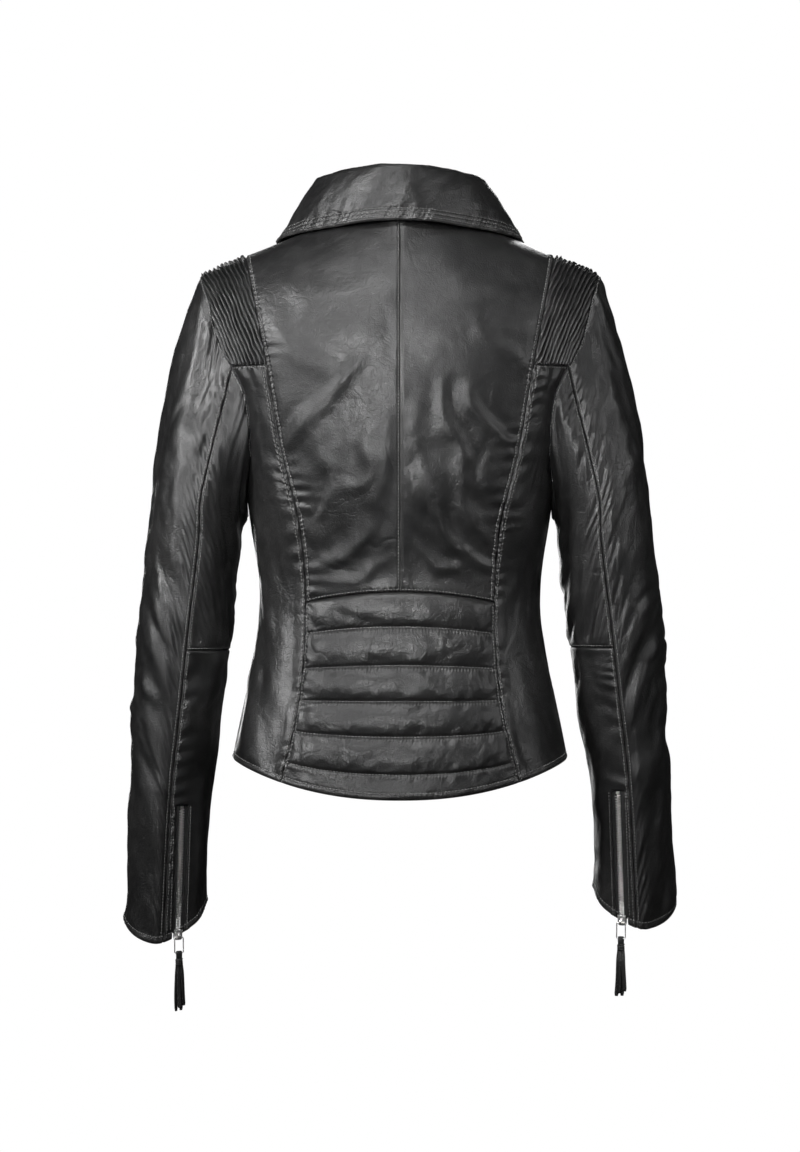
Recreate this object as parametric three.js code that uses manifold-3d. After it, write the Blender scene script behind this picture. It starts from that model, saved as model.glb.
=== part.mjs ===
// A short fitted leather riding jacket, hanging as it is worn: back, side and front panels, ribbed
// shoulder panels, a padded lumbar panel, a turned-down collar with lapels, two-piece sleeves with
// zipped cuffs, a slanting front zip and two zipped pockets.
//
// Millimetres. +X is the wearer's right, +Y is forward, +Z is up. The origin is the middle of the
// neck opening at the height of the nape, where a hanger's stem or the wearer's neck passes.

import * as THREE from "three";
import { mergeVertices } from "three/addons/utils/BufferGeometryUtils.js";
import Module from "manifold-3d";

const wasm = await Module();
wasm.setup();

// ---------------------------------------------------------------- driving dimensions
const BACK_LENGTH = 560; // nape to hem at the centre back
const SIDE_HEM_RISE = 34; // how much higher the hem is at the side seams
const FRONT_HEM_DIP = 8; // how much lower the front hem is than the side seams
const WAIST_DROP = 375; // nape to the waist row, the lumbar seam's ends
const LUMBAR_ARCH = 10; // rise of the lumbar seam at the centre back
const ARMHOLE_DEPTH = 218; // shoulder tip to underarm
const SHOULDER_HALF = 193; // centre back to shoulder tip
const ACROSS_BACK_HALF = 143; // centre back to the armhole at its narrowest
const CHEST_HALF = 148;
const WAIST_HALF = 136;
const HEM_HALF = 162;
const NECK_HALF = 72; // centre back to the side of the neck
const NECK_DROP = 10; // nape to the side of the neck
const SHOULDER_SLOPE = 0.4; // drop of the shoulder ridge per millimetre out
const SHOULDER_ROUND = 130; // height over which the shoulders round into the back
const SHOULDER_SPREAD = 17; // how much wider than the shoulder the rounded form would be

const BACK_DEPTH = { neck: 104, nape: 87, blade: 102, waist: 82, hem: 108 };
const FRONT_DEPTH = { neck: 50, collar: 66, bust: 122, waist: 112, hem: 110 };

const PRINCESS_TOP = 149; // princess seams, out from the centre
const PRINCESS_BLADE = 127;
const PRINCESS_WAIST = 90;
const PRINCESS_HEM = 117;

const ZIP_HEM_X = -14; // where the front zip meets the hem
const BREAK_X = -54; // where the lapels start to turn
const BREAK_DROP = 262; // nape to the break point
const GORGE_DROP = 42; // nape to where collar and lapel meet
const LAPEL_TIP = [124, -98];

const SLEEVE_DROP = 627; // shoulder tip to the cuff's middle
const BICEP_HALF = 47.5;
const ELBOW_HALF = 46;
const FOREARM_HALF = 38.5;
const CUFF_HALF = 41;
const CUFF_POINT = 26; // how far the cuff dips at the zip
const RIDE_UP = { left: 0, right: 14 }; // how far each sleeve has ridden up at the elbow

const LEATHER = 1.2;
const FACING = 1.0;
const FACING_GAP = 0.8; // between the leather and a facing that follows it
const LINING = 0.6;
const LINING_EASE = 10;
const FRONT_EASE = 15; // the same behind the pockets // how deep inside the leather the lining hangs
const WADDING = 3.6;
const SEAM_GAP = 0.3; // left between neighbouring pieces
const LEAF = 2.2; // collar and lapel, two layers of leather
const COLLAR_STAND = 41;
const COLLAR_REACH = 118; // collar's edge out on the shoulder
const COLLAR_EDGE_DROP = 13; // nape to the collar's edge at the centre back

const ZIP_SLOT_HALF = 6.5; // half the gap that shows the teeth
const ZIP_STRIP_HALF = 16; // half the strip that lies flat along a zip
const ZIP_FADE = 20; // width over which the flat strip runs out
const CHAIN_HALF = 2.7;
const CHAIN_THICK = 2.2;
const CHAIN_SINK = 2; // chain's middle below the leather's outer face
const TAPE_HALF = 12;
const TAPE_THICK = 0.6;
const TOOTH_PITCH = 2.5;
const TOOTH_WIDE = 1.0;
const CUFF_ZIP_LENGTH = 128;
const POCKET_ZIP_LENGTH = 104;
const POCKET_X = [61, 85]; // pocket zip's top and bottom, out from the centre front
const POCKET_SINK = 2.4;
const RING_LONG = 15;
const RING_WIDE = 10;
const RING_BAR = 1.1;
const TASSEL_LONG = 57;

// ---------------------------------------------------------------- small helpers
const { PI, abs, cos, hypot, max, min, sin, sign } = Math;
const rad = THREE.MathUtils.degToRad;
const vec = (x, y, z) => new THREE.Vector3(x, y, z);
const mix = (a, b, f) => a + (b - a) * f;
const smooth = (f) => THREE.MathUtils.smoothstep(f, 0, 1);

/** A smooth curve through [at, value] stations, held at its ends. */
function through(stations, at) {
  const n = stations.length;
  if (at <= stations[0][0]) return stations[0][1];
  if (at >= stations[n - 1][0]) return stations[n - 1][1];
  const slope = (i) => {
    const [a, b] = [stations[max(0, i - 1)], stations[min(n - 1, i + 1)]];
    return (b[1] - a[1]) / (b[0] - a[0]);
  };
  const i = stations.findIndex((s) => s[0] > at) - 1;
  const [[x0, y0], [x1, y1]] = [stations[i], stations[i + 1]];
  const span = x1 - x0;
  const f = (at - x0) / span;
  return (
    y0 * (1 + 2 * f) * (1 - f) ** 2 +
    slope(i) * span * f * (1 - f) ** 2 +
    y1 * f * f * (3 - 2 * f) +
    slope(i + 1) * span * f * f * (f - 1)
  );
}

// ---------------------------------------------------------------- body form
const ROUND = 2.35; // exponent of the body's rounded section
const ridgeOffset = SHOULDER_SLOPE * NECK_HALF - NECK_DROP;
const RIDGE_SOFTEN = 8;
const BACK = -1;
const FRONT = 1;

/** Height of the shoulder ridge at x, softened at the centre. */
function ridge(x) {
  const reach = hypot(x, RIDGE_SOFTEN) - RIDGE_SOFTEN;
  const atNeck = hypot(NECK_HALF, RIDGE_SOFTEN) - RIDGE_SOFTEN;
  return ridgeOffset - SHOULDER_SLOPE * NECK_HALF - SHOULDER_SLOPE * (reach - atNeck);
}

const TIP_Z = ridge(SHOULDER_HALF);
const UNDERARM_Z = TIP_Z - ARMHOLE_DEPTH;
const ARMHOLE_MID_Z = (TIP_Z + UNDERARM_Z) / 2;
const RIB_ANGLE = rad(81); // where on the armhole the ribbed panel ends
const RIB_Z = ARMHOLE_MID_Z + (ARMHOLE_DEPTH / 2) * cos(RIB_ANGLE);
const SIDE_HEM_Z = -BACK_LENGTH + SIDE_HEM_RISE;
const FRONT_HEM_Z = SIDE_HEM_Z - FRONT_HEM_DIP;

function halfWidth(z) {
  if (z <= UNDERARM_Z)
    return through(
      [
        [-BACK_LENGTH, HEM_HALF + 2],
        [SIDE_HEM_Z, HEM_HALF],
        [-WAIST_DROP - 7, WAIST_HALF],
        [UNDERARM_Z, CHEST_HALF],
      ],
      z,
    );
  const f = (z - UNDERARM_Z) / ARMHOLE_DEPTH;
  return CHEST_HALF + (SHOULDER_HALF + SHOULDER_SPREAD - CHEST_HALF) * min(f, 1.4) ** 1.35;
}

function depth(face, z) {
  const d = face === BACK ? BACK_DEPTH : FRONT_DEPTH;
  if (face === BACK)
    return through(
      [
        [-BACK_LENGTH, d.hem],
        [-WAIST_DROP, d.waist],
        [UNDERARM_Z + 20, d.blade - 2],
        [RIB_Z, d.blade],
        [-50, d.nape + 2],
        [-20, d.nape],
        [0, d.neck],
      ],
      z,
    );
  return through(
    [
      [FRONT_HEM_Z, d.hem],
      [-WAIST_DROP, d.waist],
      [-BREAK_DROP, d.bust],
      [RIB_Z, mix(d.collar, d.bust, 0.55)],
      [-80, d.collar],
      [0, d.neck],
    ],
    z,
  );
}

const across = (phi) => sign(sin(phi)) * abs(sin(phi)) ** (2 / ROUND);
const toward = (phi) => abs(cos(phi)) ** (2 / ROUND);
const angleOf = (share) => sign(share) * Math.asin(min(1, abs(share)) ** (ROUND / 2));

/** How far the rounded shoulder has opened at a drop below the ridge, 0 to 1. */
function crown(drop) {
  const f = min(1, max(0, drop) / SHOULDER_ROUND);
  return max(0, 1 - (1 - f) ** ROUND) ** (1 / ROUND);
}

/** A point of the body's surface at section angle phi and height z. */
function bodyPoint(face, phi, z) {
  const x = halfWidth(z) * across(phi);
  return vec(x, face * depth(face, z) * toward(phi) * crown(ridge(x) - z), z);
}

const bodyAt = (face, x, z) => bodyPoint(face, angleOf(x / halfWidth(z)), z);

function bodyNormal(face, phi, z) {
  const x = halfWidth(z) * across(phi);
  if (ridge(x) - z < 0.5) return vec((SHOULDER_SLOPE * x) / hypot(x, RIDGE_SOFTEN), 0, 1).normalize();
  const step = 0.01;
  const low = min(phi, PI / 2 - step);
  const dp = bodyPoint(face, low + step, z).sub(bodyPoint(face, low - step, z));
  const dz = bodyPoint(face, phi, z).sub(bodyPoint(face, phi, z - 1));
  if (dp.lengthSq() < 1e-9) return vec(0, 0, 1);
  const n = dp.cross(dz).normalize();
  return n.multiplyScalar(face === BACK ? 1 : -1);
}

// ---------------------------------------------------------------- seam lines on the body
function armholeX(z) {
  const f = (TIP_Z - z) / ARMHOLE_DEPTH;
  return through(
    [
      [0, SHOULDER_HALF],
      [0.12, SHOULDER_HALF - 9],
      [0.3, SHOULDER_HALF - 19],
      [0.43, ACROSS_BACK_HALF + 17],
      [0.56, ACROSS_BACK_HALF + 4],
      [0.77, ACROSS_BACK_HALF],
      [1, CHEST_HALF],
    ],
    f,
  );
}

function princessX(z) {
  return through(
    [
      [-BACK_LENGTH, PRINCESS_HEM],
      [-BACK_LENGTH + 85, mix(PRINCESS_HEM, PRINCESS_WAIST, 0.75)],
      [-WAIST_DROP - 20, PRINCESS_WAIST],
      [UNDERARM_Z - 30, PRINCESS_WAIST + 5],
      [mix(UNDERARM_Z, RIB_Z, 0.35), mix(PRINCESS_WAIST, PRINCESS_BLADE, 0.62)],
      [RIB_Z, PRINCESS_BLADE],
      [ridge(PRINCESS_TOP), PRINCESS_TOP],
    ],
    z,
  );
}

const breakX = BREAK_X;
const breakZ = -BREAK_DROP;

/** Inner edge of a front panel: along the zip up to the break, then up the lapel's roll line. */
function frontEdgeX(side, z) {
  const f = (z - FRONT_HEM_Z) / (breakZ - FRONT_HEM_Z);
  if (f <= 1) return side * (mix(ZIP_HEM_X, breakX, f) + side * ZIP_SLOT_HALF);
  const start = side * (breakX + side * ZIP_SLOT_HALF);
  return mix(start, NECK_HALF, min(1, (z - breakZ) / (-NECK_DROP - breakZ)));
}

const sectionAngle = (x, z) => angleOf(x / halfWidth(z));
const atPrincess = (z) => sectionAngle(princessX(z), z);
const atSide = (z) => (z <= UNDERARM_Z + 1e-6 ? PI / 2 : sectionAngle(armholeX(z), z));

// ---------------------------------------------------------------- rows of the body, hem to shoulder
const armholeShare = (angle, from, to) => (cos(angle) - cos(from)) / (cos(to) - cos(from));
const ROWS_BELOW_WAIST = 4;
const ROWS_TO_UNDERARM = 3;
const ROWS_TO_RIB = 5;
const ROWS_TO_TOP = 4;
const WAIST_ROW = ROWS_BELOW_WAIST;
const UNDERARM_ROW = WAIST_ROW + ROWS_TO_UNDERARM;
const RIB_ROW = UNDERARM_ROW + ROWS_TO_RIB;
const TOP_ROW = RIB_ROW + ROWS_TO_TOP;

function hemZ(face, x) {
  const share = min(1, abs(x) / HEM_HALF);
  if (face === BACK) return -BACK_LENGTH + SIDE_HEM_RISE * share ** 2.2;
  return SIDE_HEM_Z - FRONT_HEM_DIP * (1 - share ** 2);
}

function waistZ(face, x) {
  const arch = face === BACK ? max(0, 1 - (x / PRINCESS_WAIST) ** 2) : 0;
  return -WAIST_DROP + LUMBAR_ARCH * arch;
}

function topZ(face, x) {
  if (face === BACK && abs(x) < NECK_HALF) return -NECK_DROP * (x / NECK_HALF) ** 2;
  return ridge(x);
}

/** Height of a row line at x. */
function rowZ(face, row, x) {
  if (row <= WAIST_ROW) return mix(hemZ(face, x), waistZ(face, x), row / WAIST_ROW);
  if (row <= UNDERARM_ROW)
    return mix(waistZ(face, x), UNDERARM_Z, (row - WAIST_ROW) / ROWS_TO_UNDERARM);
  if (row <= RIB_ROW) {
    const angle = mix(PI, RIB_ANGLE, (row - UNDERARM_ROW) / ROWS_TO_RIB);
    return mix(UNDERARM_Z, RIB_Z, armholeShare(angle, PI, RIB_ANGLE));
  }
  const angle = mix(RIB_ANGLE, 0, (row - RIB_ROW) / ROWS_TO_TOP);
  return mix(RIB_Z, topZ(face, x), armholeShare(angle, RIB_ANGLE, 0));
}

/** The section angle and height where a row line crosses a share of the way between two edges. */
function locate(face, row, edgeA, edgeB, share) {
  let z = rowZ(face, row, PRINCESS_WAIST);
  let phi = 0;
  for (let i = 0; i < 12; i += 1) {
    phi = mix(edgeA(z), edgeB(z), share);
    z = rowZ(face, row, halfWidth(z) * across(phi));
  }
  return [phi, z];
}

// ---------------------------------------------------------------- zips lie in flat strips
/** A zip's own frame: x across, y along towards its top, z out of the leather. */
function zipFrame(low, high, out) {
  const along = high.clone().sub(low).normalize();
  const acrossZip = along.clone().cross(out).normalize();
  const outward = acrossZip.clone().cross(along).normalize();
  const matrix = new THREE.Matrix4().makeBasis(acrossZip, along, outward).setPosition(low);
  return { matrix, inverse: matrix.clone().invert(), length: high.distanceTo(low) };
}

/** Presses a point of the leather into a zip's plane where it is near the zip. */
function pressFlat(point, zip) {
  const local = point.clone().applyMatrix4(zip.inverse);
  if (abs(local.z) > 40) return point;
  const side = 1 - smooth((abs(local.x) - ZIP_STRIP_HALF) / ZIP_FADE);
  const past = max(-local.y - 12, local.y - zip.length - 12, 0);
  local.z *= 1 - side * (1 - smooth(past / 30));
  return local.applyMatrix4(zip.matrix);
}

const front = (x, z) => bodyAt(FRONT, abs(x), z).multiply(vec(sign(x) || 1, 1, 1));
const MAIN_ZIP = zipFrame(
  front(ZIP_HEM_X, FRONT_HEM_Z),
  front(breakX, breakZ),
  vec(-0.12, 1, 0),
);
const POCKET_ZIPS = Object.fromEntries(
  [-1, 1].map((side) => {
    const high = front(side * POCKET_X[0], -WAIST_DROP - 5);
    const low = front(side * POCKET_X[1], -WAIST_DROP - 5 - 0.97 * POCKET_ZIP_LENGTH);
    const middle = high.z - POCKET_ZIP_LENGTH / 2;
    const normal = bodyNormal(FRONT, sectionAngle(mix(...POCKET_X, 0.5), middle), middle);
    return [side, zipFrame(low, high, normal.multiply(vec(side, 1, 1)))];
  }),
);
const pressFront = (p, side) => pressFlat(pressFlat(p, POCKET_ZIPS[side]), MAIN_ZIP);

// ---------------------------------------------------------------- grids and shells
/** A grid of points and outward normals over rows and shares between two edges. */
function bodyGrid({ face, side, rows, edgeA, edgeB, columns }) {
  return rows.map((row) =>
    Array.from({ length: columns + 1 }, (_, j) => {
      const [phi, z] = locate(face, row, edgeA, edgeB, j / columns);
      const mirror = vec(side, 1, 1);
      let at = bodyPoint(face, phi, z).multiply(mirror);
      let out = bodyNormal(face, phi, z).multiply(mirror);
      if (face === FRONT) at = pressFront(at, side);
      if (edgeB === atSide && j === columns && row >= UNDERARM_ROW) {
        const angle = armholeAngle(face, row);
        out = mitre(side, angle, out, sleeveOut(side, angle));
      }
      return { at, out };
    }),
  );
}

/** The same grid pushed along its normals. */
const pushed = (grid, amount) =>
  grid.map((line, i) =>
    line.map(({ at, out }, j) => ({
      at: at.clone().addScaledVector(out, typeof amount === "number" ? amount : amount(i, j)),
      out,
    })),
  );

/** Pulls the free edges of a grid in by half a seam gap. */
function trimmed(grid, gap = SEAM_GAP / 2) {
  const rows = grid.length;
  const columns = grid[0].length;
  const inset = (a, b) => b.at.clone().sub(a.at).setLength(gap);
  const closed = grid[0][0].at.distanceTo(grid[0][columns - 1].at) < 1e-6;
  return grid.map((line, i) =>
    line.map((p, j) => {
      const at = p.at.clone();
      if (i === 0) at.add(inset(p, grid[1][j]));
      if (i === rows - 1) at.add(inset(p, grid[rows - 2][j]));
      if (!closed && j === 0) at.add(inset(p, line[1]));
      if (!closed && j === columns - 1) at.add(inset(p, line[columns - 2]));
      return { at, out: p.out };
    }),
  );
}

/** A closed solid of even thickness under a grid, with an optional test for cells left open. */
function shell(grid, thickness, keep = () => true) {
  const rows = grid.length;
  const columns = grid[0].length;
  const flat = grid.flat();
  const outer = flat.map((p) => p.at);
  const inner = flat.map((p) => p.at.clone().addScaledVector(p.out, -thickness));
  const at = [...outer, ...inner];
  const below = outer.length;
  const quads = [];
  for (let i = 0; i < rows - 1; i += 1)
    for (let j = 0; j < columns - 1; j += 1) {
      if (!keep(i, j)) continue;
      const a = i * columns + j;
      quads.push([a, a + 1, a + columns + 1, a + columns]);
    }
  const [a, b, , d] = quads[0].map((k) => at[k]);
  const facing = b.clone().sub(a).cross(d.clone().sub(a)).dot(flat[quads[0][0]].out);
  if (facing < 0) quads.forEach((q) => q.reverse());
  return solidFromQuads(at, quads, below);
}

/** Joins quads to their twins below, walls every open edge and merges what coincides. */
function solidFromQuads(at, quads, below) {
  const key = (v) => [v.x, v.y, v.z].map((c) => Math.round(c * 1e3)).join(",");
  const names = at.map(key);
  const triangles = [];
  const add = (...corners) => {
    const [a, b, c] = corners.map((k) => names[k]);
    if (a !== b && b !== c && a !== c) triangles.push(...corners);
  };
  const edges = new Map();
  for (const q of quads) {
    const [a, b, c, d] = q;
    add(a, b, c);
    add(a, c, d);
    const [e, f, g, h] = q.map((k) => k + below);
    add(g, f, e);
    add(h, g, e);
    q.forEach((from, i) => {
      const to = q[(i + 1) % 4];
      if (names[from] === names[to]) return;
      const twin = `${names[to]}|${names[from]}`;
      if (edges.has(twin)) edges.delete(twin);
      else edges.set(`${names[from]}|${names[to]}`, [from, to]);
    });
  }
  for (const [from, to] of edges.values()) {
    add(from, from + below, to + below);
    add(from, to + below, to);
  }
  const geometry = new THREE.BufferGeometry();
  geometry.setAttribute("position", new THREE.Float32BufferAttribute(at.flatMap((v) => v.toArray()), 3));
  geometry.setIndex(triangles);
  return mergeVertices(geometry, 1e-3);
}

// ---------------------------------------------------------------- joining and cutting
function toSolid(geometry) {
  const g = geometry.clone();
  g.deleteAttribute("normal");
  g.deleteAttribute("uv");
  const merged = mergeVertices(g, 1e-4);
  return new wasm.Manifold(
    new wasm.Mesh({
      numProp: 3,
      vertProperties: new Float32Array(merged.attributes.position.array),
      triVerts: new Uint32Array(merged.index.array),
    }),
  );
}

function fromSolid(solid) {
  const mesh = solid.getMesh();
  const geometry = new THREE.BufferGeometry();
  geometry.setAttribute("position", new THREE.Float32BufferAttribute(mesh.vertProperties, 3));
  geometry.setIndex(Array.from(mesh.triVerts));
  return geometry;
}

const joined = (...parts) => fromSolid(parts.map(toSolid).reduce((a, b) => a.add(b)));
const cut = (whole, ...tools) =>
  fromSolid([whole, ...tools].map(toSolid).reduce((a, b) => a.subtract(b)));

/** A box between two corners. */
function block(x0, x1, y0, y1, z0, z1) {
  const g = new THREE.BoxGeometry(x1 - x0, y1 - y0, z1 - z0);
  return g.translate((x0 + x1) / 2, (y0 + y1) / 2, (z0 + z1) / 2);
}

// ---------------------------------------------------------------- materials
const finish = (color, roughness, metalness = 0) =>
  new THREE.MeshStandardMaterial({ color, roughness, metalness });
const leather = finish(0x1b1b1c, 0.42);
const satin = finish(0x0d0d0f, 0.55);
const felt = finish(0x4a4a4a, 0.95);
const tape = finish(0x0b0b0b, 0.9);
const nickel = finish(0xc8c8c8, 0.25, 1);

const jacket = new THREE.Group();
function place(name, geometry, material, parent = jacket) {
  const mesh = new THREE.Mesh(geometry, material);
  mesh.name = name;
  parent.add(mesh);
  return mesh;
}

// ---------------------------------------------------------------- sleeve form
const span = (from, to) => Array.from({ length: to - from + 1 }, (_, i) => from + i);

/** Angle round the armhole, 0 at the shoulder tip, half a turn at the underarm. */
function armholeAngle(face, row) {
  const angle =
    row <= RIB_ROW
      ? mix(PI, RIB_ANGLE, (row - UNDERARM_ROW) / ROWS_TO_RIB)
      : mix(RIB_ANGLE, 0, (row - RIB_ROW) / ROWS_TO_TOP);
  return face === BACK ? angle : 2 * PI - angle;
}

/** The armhole's edge on the body at a ring angle, and the body's normal there. */
function armhole(side, angle) {
  const face = angle <= PI ? BACK : FRONT;
  const turn = angle <= PI ? angle : 2 * PI - angle;
  const row =
    turn >= RIB_ANGLE
      ? UNDERARM_ROW + (ROWS_TO_RIB * (PI - turn)) / (PI - RIB_ANGLE)
      : RIB_ROW + (ROWS_TO_TOP * (RIB_ANGLE - turn)) / RIB_ANGLE;
  const [phi, z] = locate(face, row, atPrincess, atSide, 1);
  const mirror = vec(side, 1, 1);
  return {
    at: bodyPoint(face, phi, z).multiply(mirror),
    out: bodyNormal(face, phi, z).multiply(mirror),
  };
}

const ARM_TILT = Math.atan2(ARMHOLE_DEPTH, SHOULDER_HALF - CHEST_HALF);
const ARM_MID_X = (SHOULDER_HALF + CHEST_HALF) / 2;
const RING_HALF = hypot(ARMHOLE_DEPTH, SHOULDER_HALF - CHEST_HALF) / 2;
const CUFF_Z = TIP_Z - SLEEVE_DROP;

// Stations down the sleeve: share of the way, centre out and up, half width, tilt, depth, forward.
const SLEEVE = {
  x: [
    [0, ARM_MID_X],
    [0.12, ARM_MID_X + 13],
    [0.24, ARM_MID_X + 22.5],
    [0.36, ARM_MID_X + 29],
    [0.5, ARM_MID_X + 38],
    [0.65, ARM_MID_X + 45],
    [0.82, ARM_MID_X + 54],
    [1, ARM_MID_X + 58.8],
  ],
  z: [
    [0, ARMHOLE_MID_Z],
    [0.12, ARMHOLE_MID_Z - 51],
    [0.24, ARMHOLE_MID_Z - 98.5],
    [0.36, TIP_Z - 0.411 * SLEEVE_DROP],
    [0.5, TIP_Z - 0.542 * SLEEVE_DROP],
    [0.65, TIP_Z - 0.678 * SLEEVE_DROP],
    [0.82, TIP_Z - 0.837 * SLEEVE_DROP],
    [1, CUFF_Z],
  ],
  half: [
    [0, RING_HALF],
    [0.12, 81.6],
    [0.24, 55.6],
    [0.36, BICEP_HALF],
    [0.5, ELBOW_HALF],
    [0.65, ELBOW_HALF - 2.5],
    [0.82, FOREARM_HALF],
    [1, CUFF_HALF],
  ],
  tilt: [
    [0, ARM_TILT],
    [0.12, rad(63.8)],
    [0.24, rad(41)],
    [0.36, rad(15)],
    [0.5, rad(2)],
    [0.65, 0],
    [1, 0],
  ],
  deep: [
    [0, 60],
    [0.24, 61],
    [0.36, 59],
    [0.5, 55],
    [0.65, 50],
    [0.82, 44],
    [1, CUFF_HALF],
  ],
  forward: [
    [0, 0],
    [0.36, 2],
    [0.5, 4],
    [0.65, 9],
    [0.82, 17],
    [1, 26],
  ],
};
const UNDERARM_EASE = 1.6; // how far the sleeve stands off the side under the arm
const ARMHOLE_FADE = 0.3; // share of the sleeve over which the armhole's shape runs out
const ZIP_ANGLE = rad(112);
const ELBOW_SHARE = 0.54;
const ELBOW_START = 0.36;

/** A point on the sleeve: ring angle, share of the way down. */
function sleevePoint(side, angle, t, pressed = true) {
  const half = through(SLEEVE.half, t);
  const tilt = through(SLEEVE.tilt, t);
  const ring = half * cos(angle);
  let x = through(SLEEVE.x, t) + ring * cos(tilt);
  let z = through(SLEEVE.z, t) + ring * sin(tilt);
  let y = through(SLEEVE.forward, t) - through(SLEEVE.deep, t) * sin(angle);
  const keep = 1 - smooth(t / ARMHOLE_FADE);
  if (keep > 0) {
    const start = armhole(1, ((angle % (2 * PI)) + 2 * PI) % (2 * PI)).at;
    x += keep * (start.x - ARM_MID_X - RING_HALF * cos(angle) * cos(ARM_TILT));
    z += keep * (start.z - ARMHOLE_MID_Z - RING_HALF * cos(angle) * sin(ARM_TILT));
    y = mix(y, start.y, keep);
  }
  x += UNDERARM_EASE * max(0, -cos(angle)) ** 2 * smooth(t / 0.02) * keep;
  const nearCuff = smooth((t - 0.8) / 0.2);
  z += nearCuff * (8 * (1 - cos(angle)) - CUFF_POINT * max(0, sin(angle)) ** 1.5);
  const ride = side < 0 ? RIDE_UP.left : RIDE_UP.right;
  z += ride * smooth((t - ELBOW_START) / (1 - ELBOW_START));
  const at = vec(side * x, y, z);
  return pressed ? pressFlat(at, CUFF_ZIPS[side]) : at;
}

function sleeveNormal(side, angle, t, pressed = true) {
  const step = 0.02;
  const low = min(t, 1 - step);
  const turn = sleevePoint(side, angle + step, t, pressed).sub(
    sleevePoint(side, angle - step, t, pressed),
  );
  const down = sleevePoint(side, angle, low + step, pressed).sub(
    sleevePoint(side, angle, low, pressed),
  );
  return turn.cross(down).multiplyScalar(side).normalize();
}

/** The share of the sleeve at which the cuff's zip, measured from the cuff's edge, ends. */
function zipTop(side) {
  const low = sleevePoint(side, ZIP_ANGLE, 1, false);
  let [near, far] = [1, 0.6];
  for (let i = 0; i < 30; i += 1) {
    const t = (near + far) / 2;
    if (sleevePoint(side, ZIP_ANGLE, t, false).distanceTo(low) < CUFF_ZIP_LENGTH) near = t;
    else far = t;
  }
  return near;
}
const ZIP_TOP = { [-1]: zipTop(-1), 1: zipTop(1) };
const CUFF_ZIPS = Object.fromEntries(
  [-1, 1].map((side) => {
    const low = sleevePoint(side, ZIP_ANGLE, 1, false);
    const high = sleevePoint(side, ZIP_ANGLE, ZIP_TOP[side], false);
    const out = sleeveNormal(side, ZIP_ANGLE, (1 + ZIP_TOP[side]) / 2, false);
    return [side, zipFrame(low, high, out)];
  }),
);
const sleeveOut = (side, angle) => sleeveNormal(side, angle, 0.004);

/** Where body and sleeve meet: their shared edge leans between the two, except in a tight crease. */
function mitre(side, angle, own, other) {
  const down = sleevePoint(side, angle, 0.02, false).sub(sleevePoint(side, angle, 0, false));
  const body = armhole(side, ((angle % (2 * PI)) + 2 * PI) % (2 * PI)).out;
  const share = down.dot(body) < 0 ? 1 : max(0, own.dot(other));
  return own.clone().addScaledVector(other, share).normalize();
}

const seamAngle = (t) =>
  through(
    [
      [0, RIB_ANGLE],
      [0.12, rad(86)],
      [0.24, rad(94)],
      [0.36, rad(100)],
      [0.5, rad(99)],
      [0.7, rad(95)],
      [1, rad(90)],
    ],
    t,
  );

/** Ring angle at t of the point that lies b across from the zip's line. */
function angleBesideZip(side, t, b) {
  let angle = ZIP_ANGLE;
  for (let i = 0; i < 8; i += 1) {
    const p = sleevePoint(side, angle, t).applyMatrix4(CUFF_ZIPS[side].inverse);
    angle += (side * p.x - b) / CUFF_HALF;
  }
  return angle;
}

// ---------------------------------------------------------------- leather panels of the body
const SIDES = [
  ["left", -1],
  ["right", 1],
];
const centreBack = () => 0;
const frontEdge = (side) => (z) => sectionAngle(frontEdgeX(side, z), z);
const frontFacing = (side) => (z) => sectionAngle(frontEdgeX(side, z) + 10.5, z);
const mirrored = (grid) => grid.map((line) => [...line].reverse());
/** Two grids side by side that share a column. */
const beside = (a, b) => a.map((line, i) => [...line, ...b[i].slice(1)]);

for (const [name, side] of SIDES) {
  const piece = (face, from, to, edgeA, edgeB, columns = 3) =>
    bodyGrid({ face, side, rows: span(from, to), edgeA, edgeB, columns });
  const leatherPiece = (part, grid) => place(`${part}_${name}`, shell(trimmed(grid), LEATHER), leather);
  leatherPiece("back", piece(BACK, WAIST_ROW, TOP_ROW, centreBack, atPrincess, 4));
  leatherPiece("side_back", piece(BACK, 0, RIB_ROW, atPrincess, atSide));
  leatherPiece("side_front", piece(FRONT, 0, RIB_ROW, atPrincess, atSide));
  leatherPiece("shoulder_rib", [
    ...piece(BACK, RIB_ROW, TOP_ROW, atPrincess, atSide),
    ...piece(FRONT, RIB_ROW, TOP_ROW - 1, atPrincess, atSide).reverse(),
  ]);
  const frontGrid = beside(
    piece(FRONT, 0, TOP_ROW, frontEdge(side), frontFacing(side), 1),
    piece(FRONT, 0, TOP_ROW, frontFacing(side), atPrincess, 4),
  );
  const frontPanel = shell(trimmed(frontGrid), LEATHER);
  const pocket = block(
    -ZIP_SLOT_HALF,
    ZIP_SLOT_HALF,
    -2,
    POCKET_ZIP_LENGTH + 7,
    -12,
    12,
  ).applyMatrix4(POCKET_ZIPS[side].matrix);
  place(`front_${name}`, cut(frontPanel, pocket), leather);
}

// The lumbar panel: padded channels between rows of stitching, over a sheet of wadding.
const QUILT_LINES = [0, 0.121, 0.301, 0.472, 0.644, 0.831, 1];
const QUILT_CROWN = [0.6, 2.6, 2.8, 2.8, 2.8, 2.6];
const quiltRows = QUILT_LINES.slice(0, -1).flatMap((f, i) => [f, mix(f, QUILT_LINES[i + 1], 0.5)]);
quiltRows.push(1);
const quiltCrown = (i) => (i % 2 ? QUILT_CROWN[(i - 1) / 2] : 0);

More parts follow.
